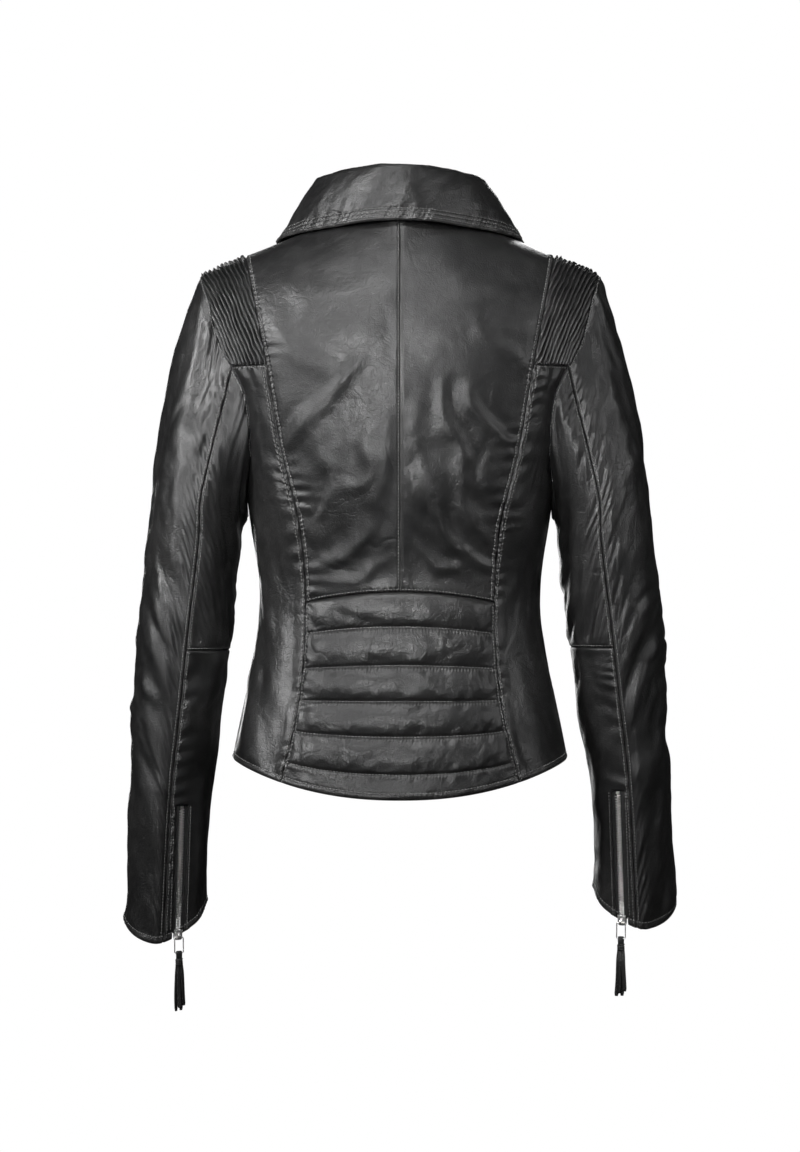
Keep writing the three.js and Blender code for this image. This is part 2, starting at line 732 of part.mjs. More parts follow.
function lumbarGrid(shares, crowns) {
  const rows = shares.map((f) => f * WAIST_ROW);
  const half = (side) =>
    bodyGrid({ face: BACK, side, rows, edgeA: centreBack, edgeB: atPrincess, columns: 4 });
  return pushed(beside(mirrored(half(-1)), half(1)), (i) => crowns[i]);
}
place("lumbar_panel", shell(trimmed(lumbarGrid(quiltRows, quiltRows.map((f, i) => quiltCrown(i)))), LEATHER), leather);
const waddingShares = [0.16, ...quiltRows.slice(3, -1), 0.98];
const waddingCrowns = [0.8, ...quiltRows.slice(3, -1).map((f, i) => quiltCrown(i + 3)), 0.3];
place(
  "lumbar_wadding",
  shell(trimmed(pushed(lumbarGrid(waddingShares, waddingCrowns), -LEATHER - SEAM_GAP), 6), WADDING),
  felt,
);

// ---------------------------------------------------------------- facings and linings of the body
/** A grid that runs from one front edge round the back to the other. */
function roundBody(rows) {
  const part = (face, side, edgeA, edgeB, columns) =>
    bodyGrid({ face, side, rows, edgeA, edgeB, columns });
  const half = (side) =>
    [
      part(BACK, side, centreBack, atPrincess, 4),
      part(BACK, side, atPrincess, atSide, 3),
      mirrored(part(FRONT, side, atPrincess, atSide, 3)),
      mirrored(part(FRONT, side, frontFacing(side), atPrincess, 4)),
    ].reduce(beside);
  return beside(mirrored(half(-1)), half(1));
}
const FACING_ROWS = [0.05, 0.25, 0.45];
place(
  "hem_facing",
  shell(pushed(roundBody(FACING_ROWS), -LEATHER - FACING_GAP), FACING),
  leather,
);

const LINING_ROWS = [0.22, 0.8, ...span(1, TOP_ROW)];
const TUCKED = LEATHER + FACING + FACING_GAP + 0.6; // how deep a lining lies where it meets a facing
const liningDepth = (ease) => (i) => {
  if (i === 0) return -TUCKED;
  return i === LINING_ROWS.length - 1 ? -LEATHER - 1.2 : -ease;
};
function liningGrid(face, side, edge) {
  const part = (edgeA, edgeB, columns) =>
    bodyGrid({ face, side, rows: LINING_ROWS, edgeA, edgeB, columns });
  return beside(part(edge, atPrincess, 4), part(atPrincess, atSide, 3));
}
const backLining = (side) => liningGrid(BACK, side, centreBack);
place(
  "lining_back",
  shell(trimmed(pushed(beside(mirrored(backLining(-1)), backLining(1)), liningDepth(LINING_EASE)), 0.4), LINING),
  satin,
);
for (const [name, side] of SIDES)
  place(
    `lining_front_${name}`,
    shell(trimmed(pushed(liningGrid(FRONT, side, frontFacing(side)), liningDepth(FRONT_EASE)), 0.4), LINING),
    satin,
  );

// ---------------------------------------------------------------- collar and lapels
const COLLAR_SIDE = 0.6; // share of the way round at which the collar passes the side of the neck
const nape = bodyAt(BACK, 0, 0);

/** The neck seam, the roll and the free edge of the collar at a share of the way to its front. */
function collarLines(side, f) {
  const seam = vec(0, 0, 0);
  if (f <= COLLAR_SIDE) {
    const x = NECK_HALF * sin((PI / 2) * (f / COLLAR_SIDE));
    const z = -NECK_DROP * (x / NECK_HALF) ** 2;
    seam.copy(bodyAt(BACK, x, min(z, ridge(x))));
  } else {
    const share = (f - COLLAR_SIDE) / (1 - COLLAR_SIDE);
    const z = mix(-NECK_DROP, -GORGE_DROP, share);
    const phi = sectionAngle(frontEdgeX(side, z), z);
    seam.copy(bodyPoint(FRONT, phi, z));
    seam.addScaledVector(bodyNormal(FRONT, phi, z), (LEAF + 0.4) * smooth(share * 3));
  }
  seam.z += SEAM_GAP + 0.2;
  const at = (xs) => through(xs.map((v, i) => [[0, 0.15, 0.3, 0.45, 0.6, 0.7, 0.8, 1][i], v]), f);
  const reach = COLLAR_REACH / 118;
  const edge = vec(
    reach * at([0, 32, 62, 95, 118, 121, 121, 105]),
    at([nape.y - 14, nape.y - 8, -50, -27, 0, 19, 38, 57]),
    at([0, -1, -4, -7, -11, -18, -31, -63]) - COLLAR_EDGE_DROP,
  );
  const away = vec(edge.x - seam.x, edge.y - seam.y, 0).normalize();
  const high = at([COLLAR_STAND, 42, 43, 43, 42, 34, 25, 13]);
  const flare = at([9, 9, 9, 9, 8, 7, 6, 4.6]);
  const roll = seam.clone().addScaledVector(away, flare);
  roll.z += high;
  return { seam, roll, edge, away, high };
}

const COLLAR_STEPS = 22;
/** A collar grid: columns round the neck, rows given by a function of the lines. */
function collarGrid(rowsOf) {
  const columns = Array.from({ length: COLLAR_STEPS + 1 }, (_, k) => {
    const f = (2 * k) / COLLAR_STEPS - 1;
    const side = f < 0 ? -1 : 1;
    return rowsOf(collarLines(side, abs(f))).map((p) => p.multiply(vec(side, 1, 1)));
  });
  const at = columns[0].map((_, i) => columns.map((column) => column[i]));
  return at.map((line, i) =>
    line.map((p, j) => {
      const round = line[min(j + 1, COLLAR_STEPS)].clone().sub(line[max(j - 1, 0)]);
      const down = at[min(i + 1, at.length - 1)][j].clone().sub(at[max(i - 1, 0)][j]);
      return { at: p, out: down.cross(round).normalize() };
    }),
  );
}
const underRoll = ({ roll, away, high }) =>
  roll.clone().addScaledVector(away, -4).add(vec(0, 0, -0.14 * high - 1.5));
const stand = collarGrid((lines) => [
  lines.seam.clone(),
  lines.seam.clone().lerp(underRoll(lines), 0.5),
  underRoll(lines),
]);
const leaf = collarGrid((lines) => [
  underRoll(lines),
  lines.roll.clone(),
  lines.roll.clone().addScaledVector(lines.away, 4).add(vec(0, 0, -0.1 * lines.high)),
  lines.roll.clone().lerp(lines.edge, 0.5).addScaledVector(lines.away, 3),
  lines.edge.clone(),
]);
stand[2] = stand[2].map((p, j) => ({ at: p.at, out: leaf[0][j].out }));
place("collar_stand", shell(trimmed(stand, 0.3), LEAF), leather);
place("collar", shell(trimmed(leaf), LEAF), leather);

/** The lapel folded back on the front: a share up the roll line, a share out from it. */
function lapelPoint(side, up, out) {
  const z0 = mix(breakZ + 12, -GORGE_DROP - 6, up);
  const x0 = frontEdgeX(side, z0) + 1;
  const [x1, z1] = [
    mix(frontEdgeX(side, breakZ + 12) + 12, LAPEL_TIP[0], up),
    mix(breakZ + 12, LAPEL_TIP[1], up),
  ];
  const [x, z] = [mix(x0, x1, out) + 6 * sin(PI * up) * out, mix(z0, z1, out)];
  const phi = sectionAngle(x, z);
  const mirror = vec(side, 1, 1);
  return {
    at: pressFront(bodyPoint(FRONT, phi, z).multiply(mirror), side),
    out: bodyNormal(FRONT, phi, z).multiply(mirror),
  };
}
const upright = (at, out) =>
  new THREE.Matrix4()
    .makeRotationFromQuaternion(new THREE.Quaternion().setFromUnitVectors(vec(0, 1, 0), out))
    .setPosition(at);
for (const [name, side] of SIDES) {
  const steps = 7;
  const lapel = Array.from({ length: steps + 1 }, (_, i) =>
    Array.from({ length: 5 }, (_, j) => lapelPoint(side, i / steps, j / 4)),
  );
  place(`lapel_${name}`, shell(trimmed(pushed(lapel, LEAF + 0.7)), LEAF), leather);
  const { at, out } = lapelPoint(side, 0.86, 0.75);
  const cap = new THREE.CylinderGeometry(5.2, 6.2, 1.6, 20);
  cap.applyMatrix4(upright(at.clone().addScaledVector(out, LEAF + 0.7 + 1.1), out));
  place(`lapel_snap_${name}`, cap, nickel);
}

// ---------------------------------------------------------------- sleeves
const SLEEVE_ROWS = [0, 0.035, 0.08, 0.13, 0.19, 0.25, 0.31, 0.37, 0.44, 0.49];
const lowerRows = (side) => [ELBOW_SHARE, 0.61, 0.68, 0.745, ZIP_TOP[side], 0.87, 0.93, 1];
const ringStep = (PI - RIB_ANGLE) / ROWS_TO_RIB;
const UNDER_END = 2 * PI - RIB_ANGLE - ringStep; // the front seam, a turn round from the top's side
const fan = (from, to, count) => Array.from({ length: count + 1 }, (_, j) => mix(from, to, j / count));

function sleeveGrid(side, shares, anglesAt) {
  return shares.map((t) =>
    anglesAt(t).map((angle) => {
      const out = sleeveNormal(side, angle, t);
      if (t === 0) {
        const turn = ((angle % (2 * PI)) + 2 * PI) % (2 * PI);
        out.copy(mitre(side, angle, sleeveOut(side, angle), armhole(side, turn).out));
      }
      return { at: sleevePoint(side, angle, t), out };
    }),
  );
}

for (const [name, side] of SIDES) {
  const sleevePiece = (part, grid, keep) =>
    place(`sleeve_${part}_${name}`, shell(trimmed(grid, 0.2), LEATHER, keep), leather);
  const beside_ = (t, b) => angleBesideZip(side, max(t, ZIP_TOP[side]), b);
  const topAngles = (t) => [
    ...fan(seamAngle(t), 0, 4),
    ...fan(0, -RIB_ANGLE, 4).slice(1),
    UNDER_END - 2 * PI,
  ];
  const underAngles = (t) => [
    seamAngle(t),
    beside_(t, ZIP_SLOT_HALF),
    beside_(t, -ZIP_SLOT_HALF),
    ...fan(beside_(t, -ZIP_STRIP_HALF), UNDER_END, 5),
  ];
  sleevePiece("top", sleeveGrid(side, [...SLEEVE_ROWS, ...lowerRows(side)], topAngles));
  sleevePiece(
    "under_upper",
    sleeveGrid(side, [...SLEEVE_ROWS, ELBOW_SHARE], (t) => fan(seamAngle(t), UNDER_END, 9)),
  );
  sleevePiece(
    "under_lower",
    sleeveGrid(side, lowerRows(side), underAngles),
    (i, j) => j !== 1 || lowerRows(side)[i] < ZIP_TOP[side] - 1e-6,
  );
  // The facing and the lining follow the leather's own columns, so they lie evenly inside it.
  const round = (t) => [
    ...underAngles(t).slice(3),
    ...topAngles(t).reverse().slice(1).map((angle) => angle + 2 * PI),
  ];
  place(
    `cuff_facing_${name}`,
    shell(pushed(sleeveGrid(side, [0.955, 0.975, 0.996], round), -LEATHER - FACING_GAP), FACING),
    leather,
  );
  const ring = (t) => [
    ...underAngles(t).slice(2),
    ...topAngles(t).reverse().slice(1).map((angle) => angle + 2 * PI),
    ...underAngles(t).slice(1, 3).map((angle) => angle + 2 * PI),
  ];
  const liningShares = [0.03, 0.1, 0.18, 0.26, 0.37, 0.49, 0.61, 0.72, 0.84, 0.93, 0.975];
  const last = liningShares.length - 1;
  const wide = ring(1).length;
  const sunkLining = (i, j) => (i === last && j > 1 && j < wide - 3 ? -TUCKED : -LINING_EASE);
  const liningRing = pushed(sleeveGrid(side, liningShares, ring), sunkLining);
  place(`lining_sleeve_${name}`, shell(liningRing, LINING), satin);
}

// ---------------------------------------------------------------- zips
/** One side of a zip: a woven tape with a bead, and teeth where they are asked for. */
function stringer(sideways, from, to, toothed) {
  const x = (a, b) => [min(sideways * a, sideways * b), max(sideways * a, sideways * b)];
  const half = TAPE_THICK / 2;
  const thick = CHAIN_THICK / 2;
  const parts = [block(...x(2.3, TAPE_HALF), from - 1, to + 4, -half, half)];
  if (!toothed) parts.push(block(...x(SEAM_GAP / 2, CHAIN_HALF), from, to, -thick, thick));
  else {
    const outline = [[CHAIN_HALF, from]];
    const shift = sideways > 0 ? 0.2 : 0.2 + TOOTH_PITCH / 2;
    for (let y = from + shift; y + TOOTH_WIDE < to; y += TOOTH_PITCH)
      outline.push([1.7, y], [-1, y], [-1, y + TOOTH_WIDE], [1.7, y + TOOTH_WIDE]);
    outline.push([1.7, to], [CHAIN_HALF, to]);
    outline.splice(1, 0, [1.7, from]);
    const comb = new THREE.Shape(outline.map(([a, b]) => new THREE.Vector2(sideways * a, b)));
    const depth = 2 * thick;
    parts.push(new THREE.ExtrudeGeometry(comb, { depth, bevelEnabled: false }).translate(0, 0, -thick));
  }
  return joined(...parts);
}

/** A slider round the chain, its post past the chain's end, with a bail for the pull. */
function slider(end) {
  const y = (a, b) => [min(end * a, end * b), max(end * a, end * b)];
  const plate = CHAIN_THICK / 2 + 0.3;
  const outer = plate + 0.9;
  const parts = [
    block(-4, 4, ...y(-4.5, 5.5), plate, outer),
    block(-4, 4, ...y(-4.5, 5.5), -outer, -plate),
    block(-0.9, 0.9, ...y(3, 5.5), -outer, outer),
  ];
  for (const s of [-1, 1])
    for (const level of [-1, 1]) {
      const [x0, x1] = [min(s * 3.2, s * 4), max(s * 3.2, s * 4)];
      const [z0, z1] = [min(level * 0.6, level * outer), max(level * 0.6, level * outer)];
      parts.push(block(x0, x1, ...y(-4.5, 1), z0, z1));
    }
  parts.push(block(-1, 1, -4.6, -3.8, outer - 0.2, outer + 3.1));
  parts.push(block(-1, 1, 0.6, 1.4, outer - 0.2, outer + 3.1));
  parts.push(block(-1, 1, -4.6, 1.4, outer + 2.3, outer + 3.1));
  return joined(...parts);
}
const BAIL = vec(0, -2.6, CHAIN_THICK / 2 + 1.2 + 1.1);

function ringPull() {
  const [w, b] = [RING_WIDE / 2, RING_BAR / 2];
  return cut(
    block(-w, w, -RING_LONG - b, b, -b, b),
    block(-w + 2 * b, w - 2 * b, -RING_LONG + b, -b, -2, 2),
  );
}

/** A knotted leather strap: a loop for the ring's bar and two tails. */
function tassel() {
  const loop = cut(block(-2.6, 2.6, -6, 2.1, -2.1, 2.1), block(-4, 4, -1, 1, -1, 1));
  return joined(
    loop,
    block(-3.4, 3.4, -11, -5.5, -2.4, 2.4),
    block(-4.8, -0.4, -TASSEL_LONG, -10, -0.9, 0.5),
    block(0.3, 4.7, -TASSEL_LONG + 4, -10, -0.5, 0.9),
  );
}

/** A frame at a point of a zip that hangs plumb about the zip's crosswise axis. */
function plumb(zip, local) {
  const at = local.clone().applyMatrix4(zip.matrix);
  const x = vec(0, 0, 0).setFromMatrixColumn(zip.matrix, 0);
  const up = vec(0, 0, 1).addScaledVector(x, -x.z).normalize();
  return new THREE.Matrix4().makeBasis(x, up, x.clone().cross(up)).setPosition(at);
}

const sunk = (geometry, sink = CHAIN_SINK) => geometry.translate(0, 0, -sink);
/** A slider with its pull, and a tassel where it has one, at a height on the zip. */
function placeSlider(name, zip, end, y, tasselled, sink = CHAIN_SINK) {
  const body = sunk(slider(end).translate(0, y, 0), sink).applyMatrix4(zip.matrix);
  place(`${name}_slider`, body, nickel);
  const hanging = plumb(zip, BAIL.clone().add(vec(0, y, -sink)));
  place(`${name}_pull`, ringPull().applyMatrix4(hanging), nickel);
  if (!tasselled) return;
  place(`${name}_tassel`, tassel().translate(0, -RING_LONG, 0).applyMatrix4(hanging), leather);
}

for (const [name, side] of SIDES) {
  const zip = CUFF_ZIPS[side];
  const top = CUFF_ZIP_LENGTH - 4;
  for (const [place_, sideways] of [["outer", side], ["inner", -side]])
    place(
      `cuff_zip_${place_}_${name}`,
      sunk(stringer(sideways, 2.5, top, true)).applyMatrix4(zip.matrix),
      nickel,
    );
  const stop = block(-1.9, 1.9, top + 0.4, top + 3, -1.5, 1.5);
  place(`cuff_stop_${name}`, sunk(stop).applyMatrix4(zip.matrix), nickel);
  placeSlider(`cuff_${name}`, zip, -1, 1.5, true);

  const pocket = POCKET_ZIPS[side];
  const bar = block(-CHAIN_HALF, CHAIN_HALF, 2, POCKET_ZIP_LENGTH, -CHAIN_THICK / 2, CHAIN_THICK / 2);
  const woven = block(-TAPE_HALF, TAPE_HALF, 0, POCKET_ZIP_LENGTH, -TAPE_THICK / 2, TAPE_THICK / 2);
  place(`pocket_zip_${name}`, sunk(joined(bar, woven), POCKET_SINK).applyMatrix4(pocket.matrix), nickel);
  placeSlider(`pocket_${name}`, pocket, 1, POCKET_ZIP_LENGTH - 1.5, false, POCKET_SINK);
  const back = -POCKET_SINK - 3.2;
  const rim = -POCKET_SINK - TAPE_THICK / 2 - SEAM_GAP;
  const bag = joined(
    block(-13, 13, -14, POCKET_ZIP_LENGTH, back - 1.2, back),
    block(-11, -9.8, 4, POCKET_ZIP_LENGTH - 4, back - 0.5, rim),
    block(9.8, 11, 4, POCKET_ZIP_LENGTH - 4, back - 0.5, rim),
  );
  place(`pocket_bag_${name}`, bag.applyMatrix4(pocket.matrix), satin);
  place(
    `front_zip_${name}`,
    sunk(stringer(side * -1, 5.5, MAIN_ZIP.length - 3, false)).applyMatrix4(MAIN_ZIP.matrix),
    nickel,
  );
}
placeSlider("front", MAIN_ZIP, 1, MAIN_ZIP.length - 4.5, true);
place("front_retainer", sunk(block(-4.2, 4.2, 0.4, 4.2, -1.8, 1.8)).applyMatrix4(MAIN_ZIP.matrix), nickel);

// ---------------------------------------------------------------- hanger loop
const loopY = nape.y + 11;
place(
  "hanger_loop",
  joined(
    cut(block(-12, 12, loopY, loopY + 1.4, -14, 3), block(-9, 9, loopY - 1, loopY + 3, -11, -1.5)),
    block(-12, 12, nape.y + 4.6, loopY + 1, 1.6, 3),
  ),
  satin,
);

export default jacket;
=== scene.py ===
"""The looks of a short fitted leather riding jacket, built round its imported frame.

Every piece of leather is a fine grid laid over the jacket's form, sewn, puckered, ribbed or quilted, and
given its thickness. The forms are worked in millimetres and written to the meshes in metres, in the
frame's own axes: +X is the wearer's right, +Y is forward, +Z is up and the origin is at the nape.
"""

from __future__ import annotations

import logging
import math
from contextlib import contextmanager
from dataclasses import dataclass
from enum import Enum
from typing import Callable, Iterable, Iterator, Optional, Sequence, Union

import bmesh
import bpy
import numpy as np
from bpy.types import Material, Mesh, Object
from mathutils import Matrix, Vector

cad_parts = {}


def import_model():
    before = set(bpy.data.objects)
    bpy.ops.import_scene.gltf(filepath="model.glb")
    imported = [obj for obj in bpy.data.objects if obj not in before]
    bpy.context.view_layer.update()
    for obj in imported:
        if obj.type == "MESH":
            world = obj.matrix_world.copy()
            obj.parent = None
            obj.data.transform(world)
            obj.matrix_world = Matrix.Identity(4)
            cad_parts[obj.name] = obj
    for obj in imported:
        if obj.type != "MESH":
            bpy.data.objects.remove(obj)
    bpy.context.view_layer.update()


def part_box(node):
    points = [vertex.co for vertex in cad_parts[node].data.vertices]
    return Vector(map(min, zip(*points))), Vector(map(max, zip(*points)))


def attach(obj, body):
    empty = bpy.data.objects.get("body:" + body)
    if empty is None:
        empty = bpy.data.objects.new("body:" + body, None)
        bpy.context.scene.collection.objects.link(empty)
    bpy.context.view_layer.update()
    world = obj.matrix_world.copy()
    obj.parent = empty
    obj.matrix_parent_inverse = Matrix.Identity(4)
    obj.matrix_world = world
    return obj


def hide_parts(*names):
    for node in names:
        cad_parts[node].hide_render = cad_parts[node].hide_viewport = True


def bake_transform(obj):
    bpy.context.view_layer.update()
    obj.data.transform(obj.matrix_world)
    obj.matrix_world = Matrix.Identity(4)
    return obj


LOG = logging.getLogger("jacket")
MM = 0.001
TURN = 2 * math.pi
Grid = np.ndarray
Number = Union[float, np.ndarray]


class Face(Enum):
    """Which half of the body a panel lies on; the value is its direction along Y."""

    BACK = -1
    FRONT = 1


class Line(Enum):
    """A line down the body at which a panel can start or end."""

    CENTRE = "centre"
    PRINCESS = "princess"
    SIDE = "side"
    OPENING = "opening"
    FACING = "facing"


class Rim(Enum):
    """One of the four edges of a panel's grid."""

    FIRST_COLUMN = "first column"
    LAST_COLUMN = "last column"
    FIRST_ROW = "first row"
    LAST_ROW = "last row"


SIDES = {"left": -1, "right": 1}
PRINCESS_ROW, HEM_ROW = 4.2, 6.0
PRINCESS_CLOSE = 185.0
TRIM = 5.0


# ---- helpers
def mix(a: Number, b: Number, f: Number) -> Number:
    """The value a share f of the way from a to b."""
    return a + (b - a) * f


def smooth(f: Number) -> Number:
    """An eased step from 0 to 1."""
    f = np.clip(f, 0, 1)
    return f * f * (3 - 2 * f)


def bell(distance: Number, width: float) -> Number:
    """A rounded hump, 1 at no distance."""
    return np.exp(-((distance / width) ** 2))


def through(stations: Sequence[tuple[float, float]], at: Number) -> Number:
    """A smooth curve through stations, held at its ends.

    Args:
        stations: Pairs of place and value, in order.
        at: Places to read the curve at.

    Returns:
        The curve's values there.
    """
    xs, ys = np.array(stations, float).T
    last = len(xs) - 1
    before, after = np.maximum(np.arange(last + 1) - 1, 0), np.minimum(np.arange(last + 1) + 1, last)
    slope = (ys[after] - ys[before]) / (xs[after] - xs[before])
    held = np.clip(at, xs[0], xs[-1])
    i = np.clip(np.searchsorted(xs, held, side="right") - 1, 0, last - 1)
    span = xs[i + 1] - xs[i]
    f = (held - xs[i]) / span
    g = 1 - f
    return (
        ys[i] * (1 + 2 * f) * g**2
        + slope[i] * span * f * g**2
        + ys[i + 1] * f * f * (3 - 2 * f)
        - slope[i + 1] * span * f * f * g
    )


def run_along(path: Grid) -> Grid:
    """The distance along a path to each of its points."""
    return np.cumsum(np.pad(np.linalg.norm(np.diff(path, axis=0), axis=1), (1, 0)))


def unit(v: Grid) -> Grid:
    """Vectors scaled to length 1."""
    return v / np.maximum(np.linalg.norm(v, axis=-1, keepdims=True), 1e-12)


def stack(x: Number, y: Number, z: Number) -> Grid:
    """Points from their three coordinates."""
    return np.stack(np.broadcast_arrays(x, y, z), axis=-1).astype(float)


class Noise:
    """Smooth repeatable noise from -1 to 1."""

    SIZE = 64

    def __init__(self, seed: int) -> None:
        """Draws the lattice for a seed."""
        self.lattice = np.random.default_rng(seed).uniform(-1, 1, (self.SIZE, self.SIZE))

    def __call__(self, x: Number, y: Number = 0.0) -> Number:
        """The noise at a place, one lattice cell to each unit."""
        x, y = np.broadcast_arrays(np.asarray(x, float), np.asarray(y, float))
        i, j = np.floor(x).astype(int), np.floor(y).astype(int)
        f, g = smooth(x - i), smooth(y - j)
        a, b = i % self.SIZE, (i + 1) % self.SIZE
        c, d = j % self.SIZE, (j + 1) % self.SIZE
        low = mix(self.lattice[a, c], self.lattice[b, c], f)
        high = mix(self.lattice[a, d], self.lattice[b, d], f)
        return mix(low, high, g)

    def layered(self, x: Number, y: Number, layers: int = 3) -> Number:
        """Several sizes of the noise together."""
        total = 0.0
        for k in range(layers):
            total = total + self(x * 2**k + 7.3 * k, y * 2**k - 3.1 * k) * 0.5**k
        return total


# ---- sizes
@dataclass(frozen=True)
class Pattern:
    """The jacket's sizes in millimetres, the frame's own."""

    back_length: float = 560.0
    side_hem_rise: float = 34.0
    front_hem_dip: float = 8.0
    waist_drop: float = 375.0
    lumbar_arch: float = 10.0
    armhole_depth: float = 218.0
    shoulder_half: float = 193.0
    across_back_half: float = 143.0
    chest_half: float = 148.0
    waist_half: float = 136.0
    hem_half: float = 162.0
    neck_half: float = 72.0
    neck_drop: float = 10.0
    shoulder_slope: float = 0.4
    shoulder_round: float = 130.0
    shoulder_spread: float = 17.0
    ridge_soften: float = 8.0
    roundness: float = 2.35
    princess_top: float = 149.0
    princess_blade: float = 127.0
    princess_waist: float = 90.0
    princess_hem: float = 117.0
    zip_hem_x: float = -14.0
    break_x: float = -54.0
    break_drop: float = 262.0
    gorge_drop: float = 42.0
    lapel_tip: tuple[float, float] = (124.0, -98.0)
    sleeve_drop: float = 627.0
    bicep_half: float = 47.5
    elbow_half: float = 46.0
    forearm_half: float = 38.5
    cuff_half: float = 41.0
    cuff_point: float = 26.0
    ride_up_right: float = 14.0
    leather: float = 1.2
    facing: float = 1.0
    facing_gap: float = 0.8
    lining: float = 0.6
    lining_ease: float = 10.0
    front_ease: float = 15.0
    wadding: float = 3.6
    leaf: float = 2.2
    collar_stand: float = 41.0
    collar_edge_drop: float = 13.0
    zip_slot_half: float = 6.5
    zip_strip_half: float = 16.0
    zip_fade: float = 20.0
    cuff_zip_length: float = 128.0
    pocket_zip_length: float = 104.0
    pocket_top_x: float = 61.0
    pocket_low_x: float = 85.0


CUT = Pattern()
WAIST_ROW, UNDERARM_ROW, RIB_ROW, TOP_ROW = 4, 7, 12, 16
RIB_ANGLE = math.radians(81)
ZIP_ANGLE = math.radians(112)
UNDER_END = TURN - RIB_ANGLE - (math.pi - RIB_ANGLE) / (RIB_ROW - UNDERARM_ROW)
ELBOW_SHARE = 0.54


@dataclass(frozen=True)
class ZipFrame:
    """A zip's own frame: x across it, y along towards its top, z out of the leather."""

    low: Grid
    axes: Grid
    length: float

    @classmethod
    def between(cls, low: Grid, high: Grid, out: Grid) -> "ZipFrame":
        """The frame of a zip from its low end to its high end, with out away from the leather."""
        along = unit(high - low)
        across = unit(np.cross(along, out))
        axes = np.stack([across, along, unit(np.cross(across, along))], axis=1)
        return cls(low, axes, float(np.linalg.norm(high - low)))

    def local(self, points: Grid) -> Grid:
        """Points in the zip's frame."""
        return (points - self.low) @ self.axes

    def place(self, local: Grid) -> Grid:
        """Points of the zip's frame in the jacket's."""
        return self.low + np.asarray(local, float) @ self.axes.T

    def press(self, points: Grid) -> Grid:
        """Points of the leather, pressed into the zip's plane where they are near it."""
        local = self.local(points)
        side = 1 - smooth((np.abs(local[..., 0]) - CUT.zip_strip_half) / CUT.zip_fade)
        past = np.maximum(np.maximum(-local[..., 1] - 12, local[..., 1] - self.length - 12), 0)
        keep = 1 - side * (1 - smooth(past / 30))
        near = np.abs(local[..., 2]) <= 40
        local[..., 2] *= np.where(near, keep, 1)
        return self.place(local)

    def plumb(self, local: Sequence[float]) -> "ZipFrame":
        """The frame at a point of the zip that hangs plumb about the zip's crosswise axis."""
        x = self.axes[:, 0]
        up = unit(np.array([0.0, 0.0, 1.0]) - x * x[2])
        return ZipFrame(self.place(local), np.stack([x, up, np.cross(x, up)], axis=1), 0.0)


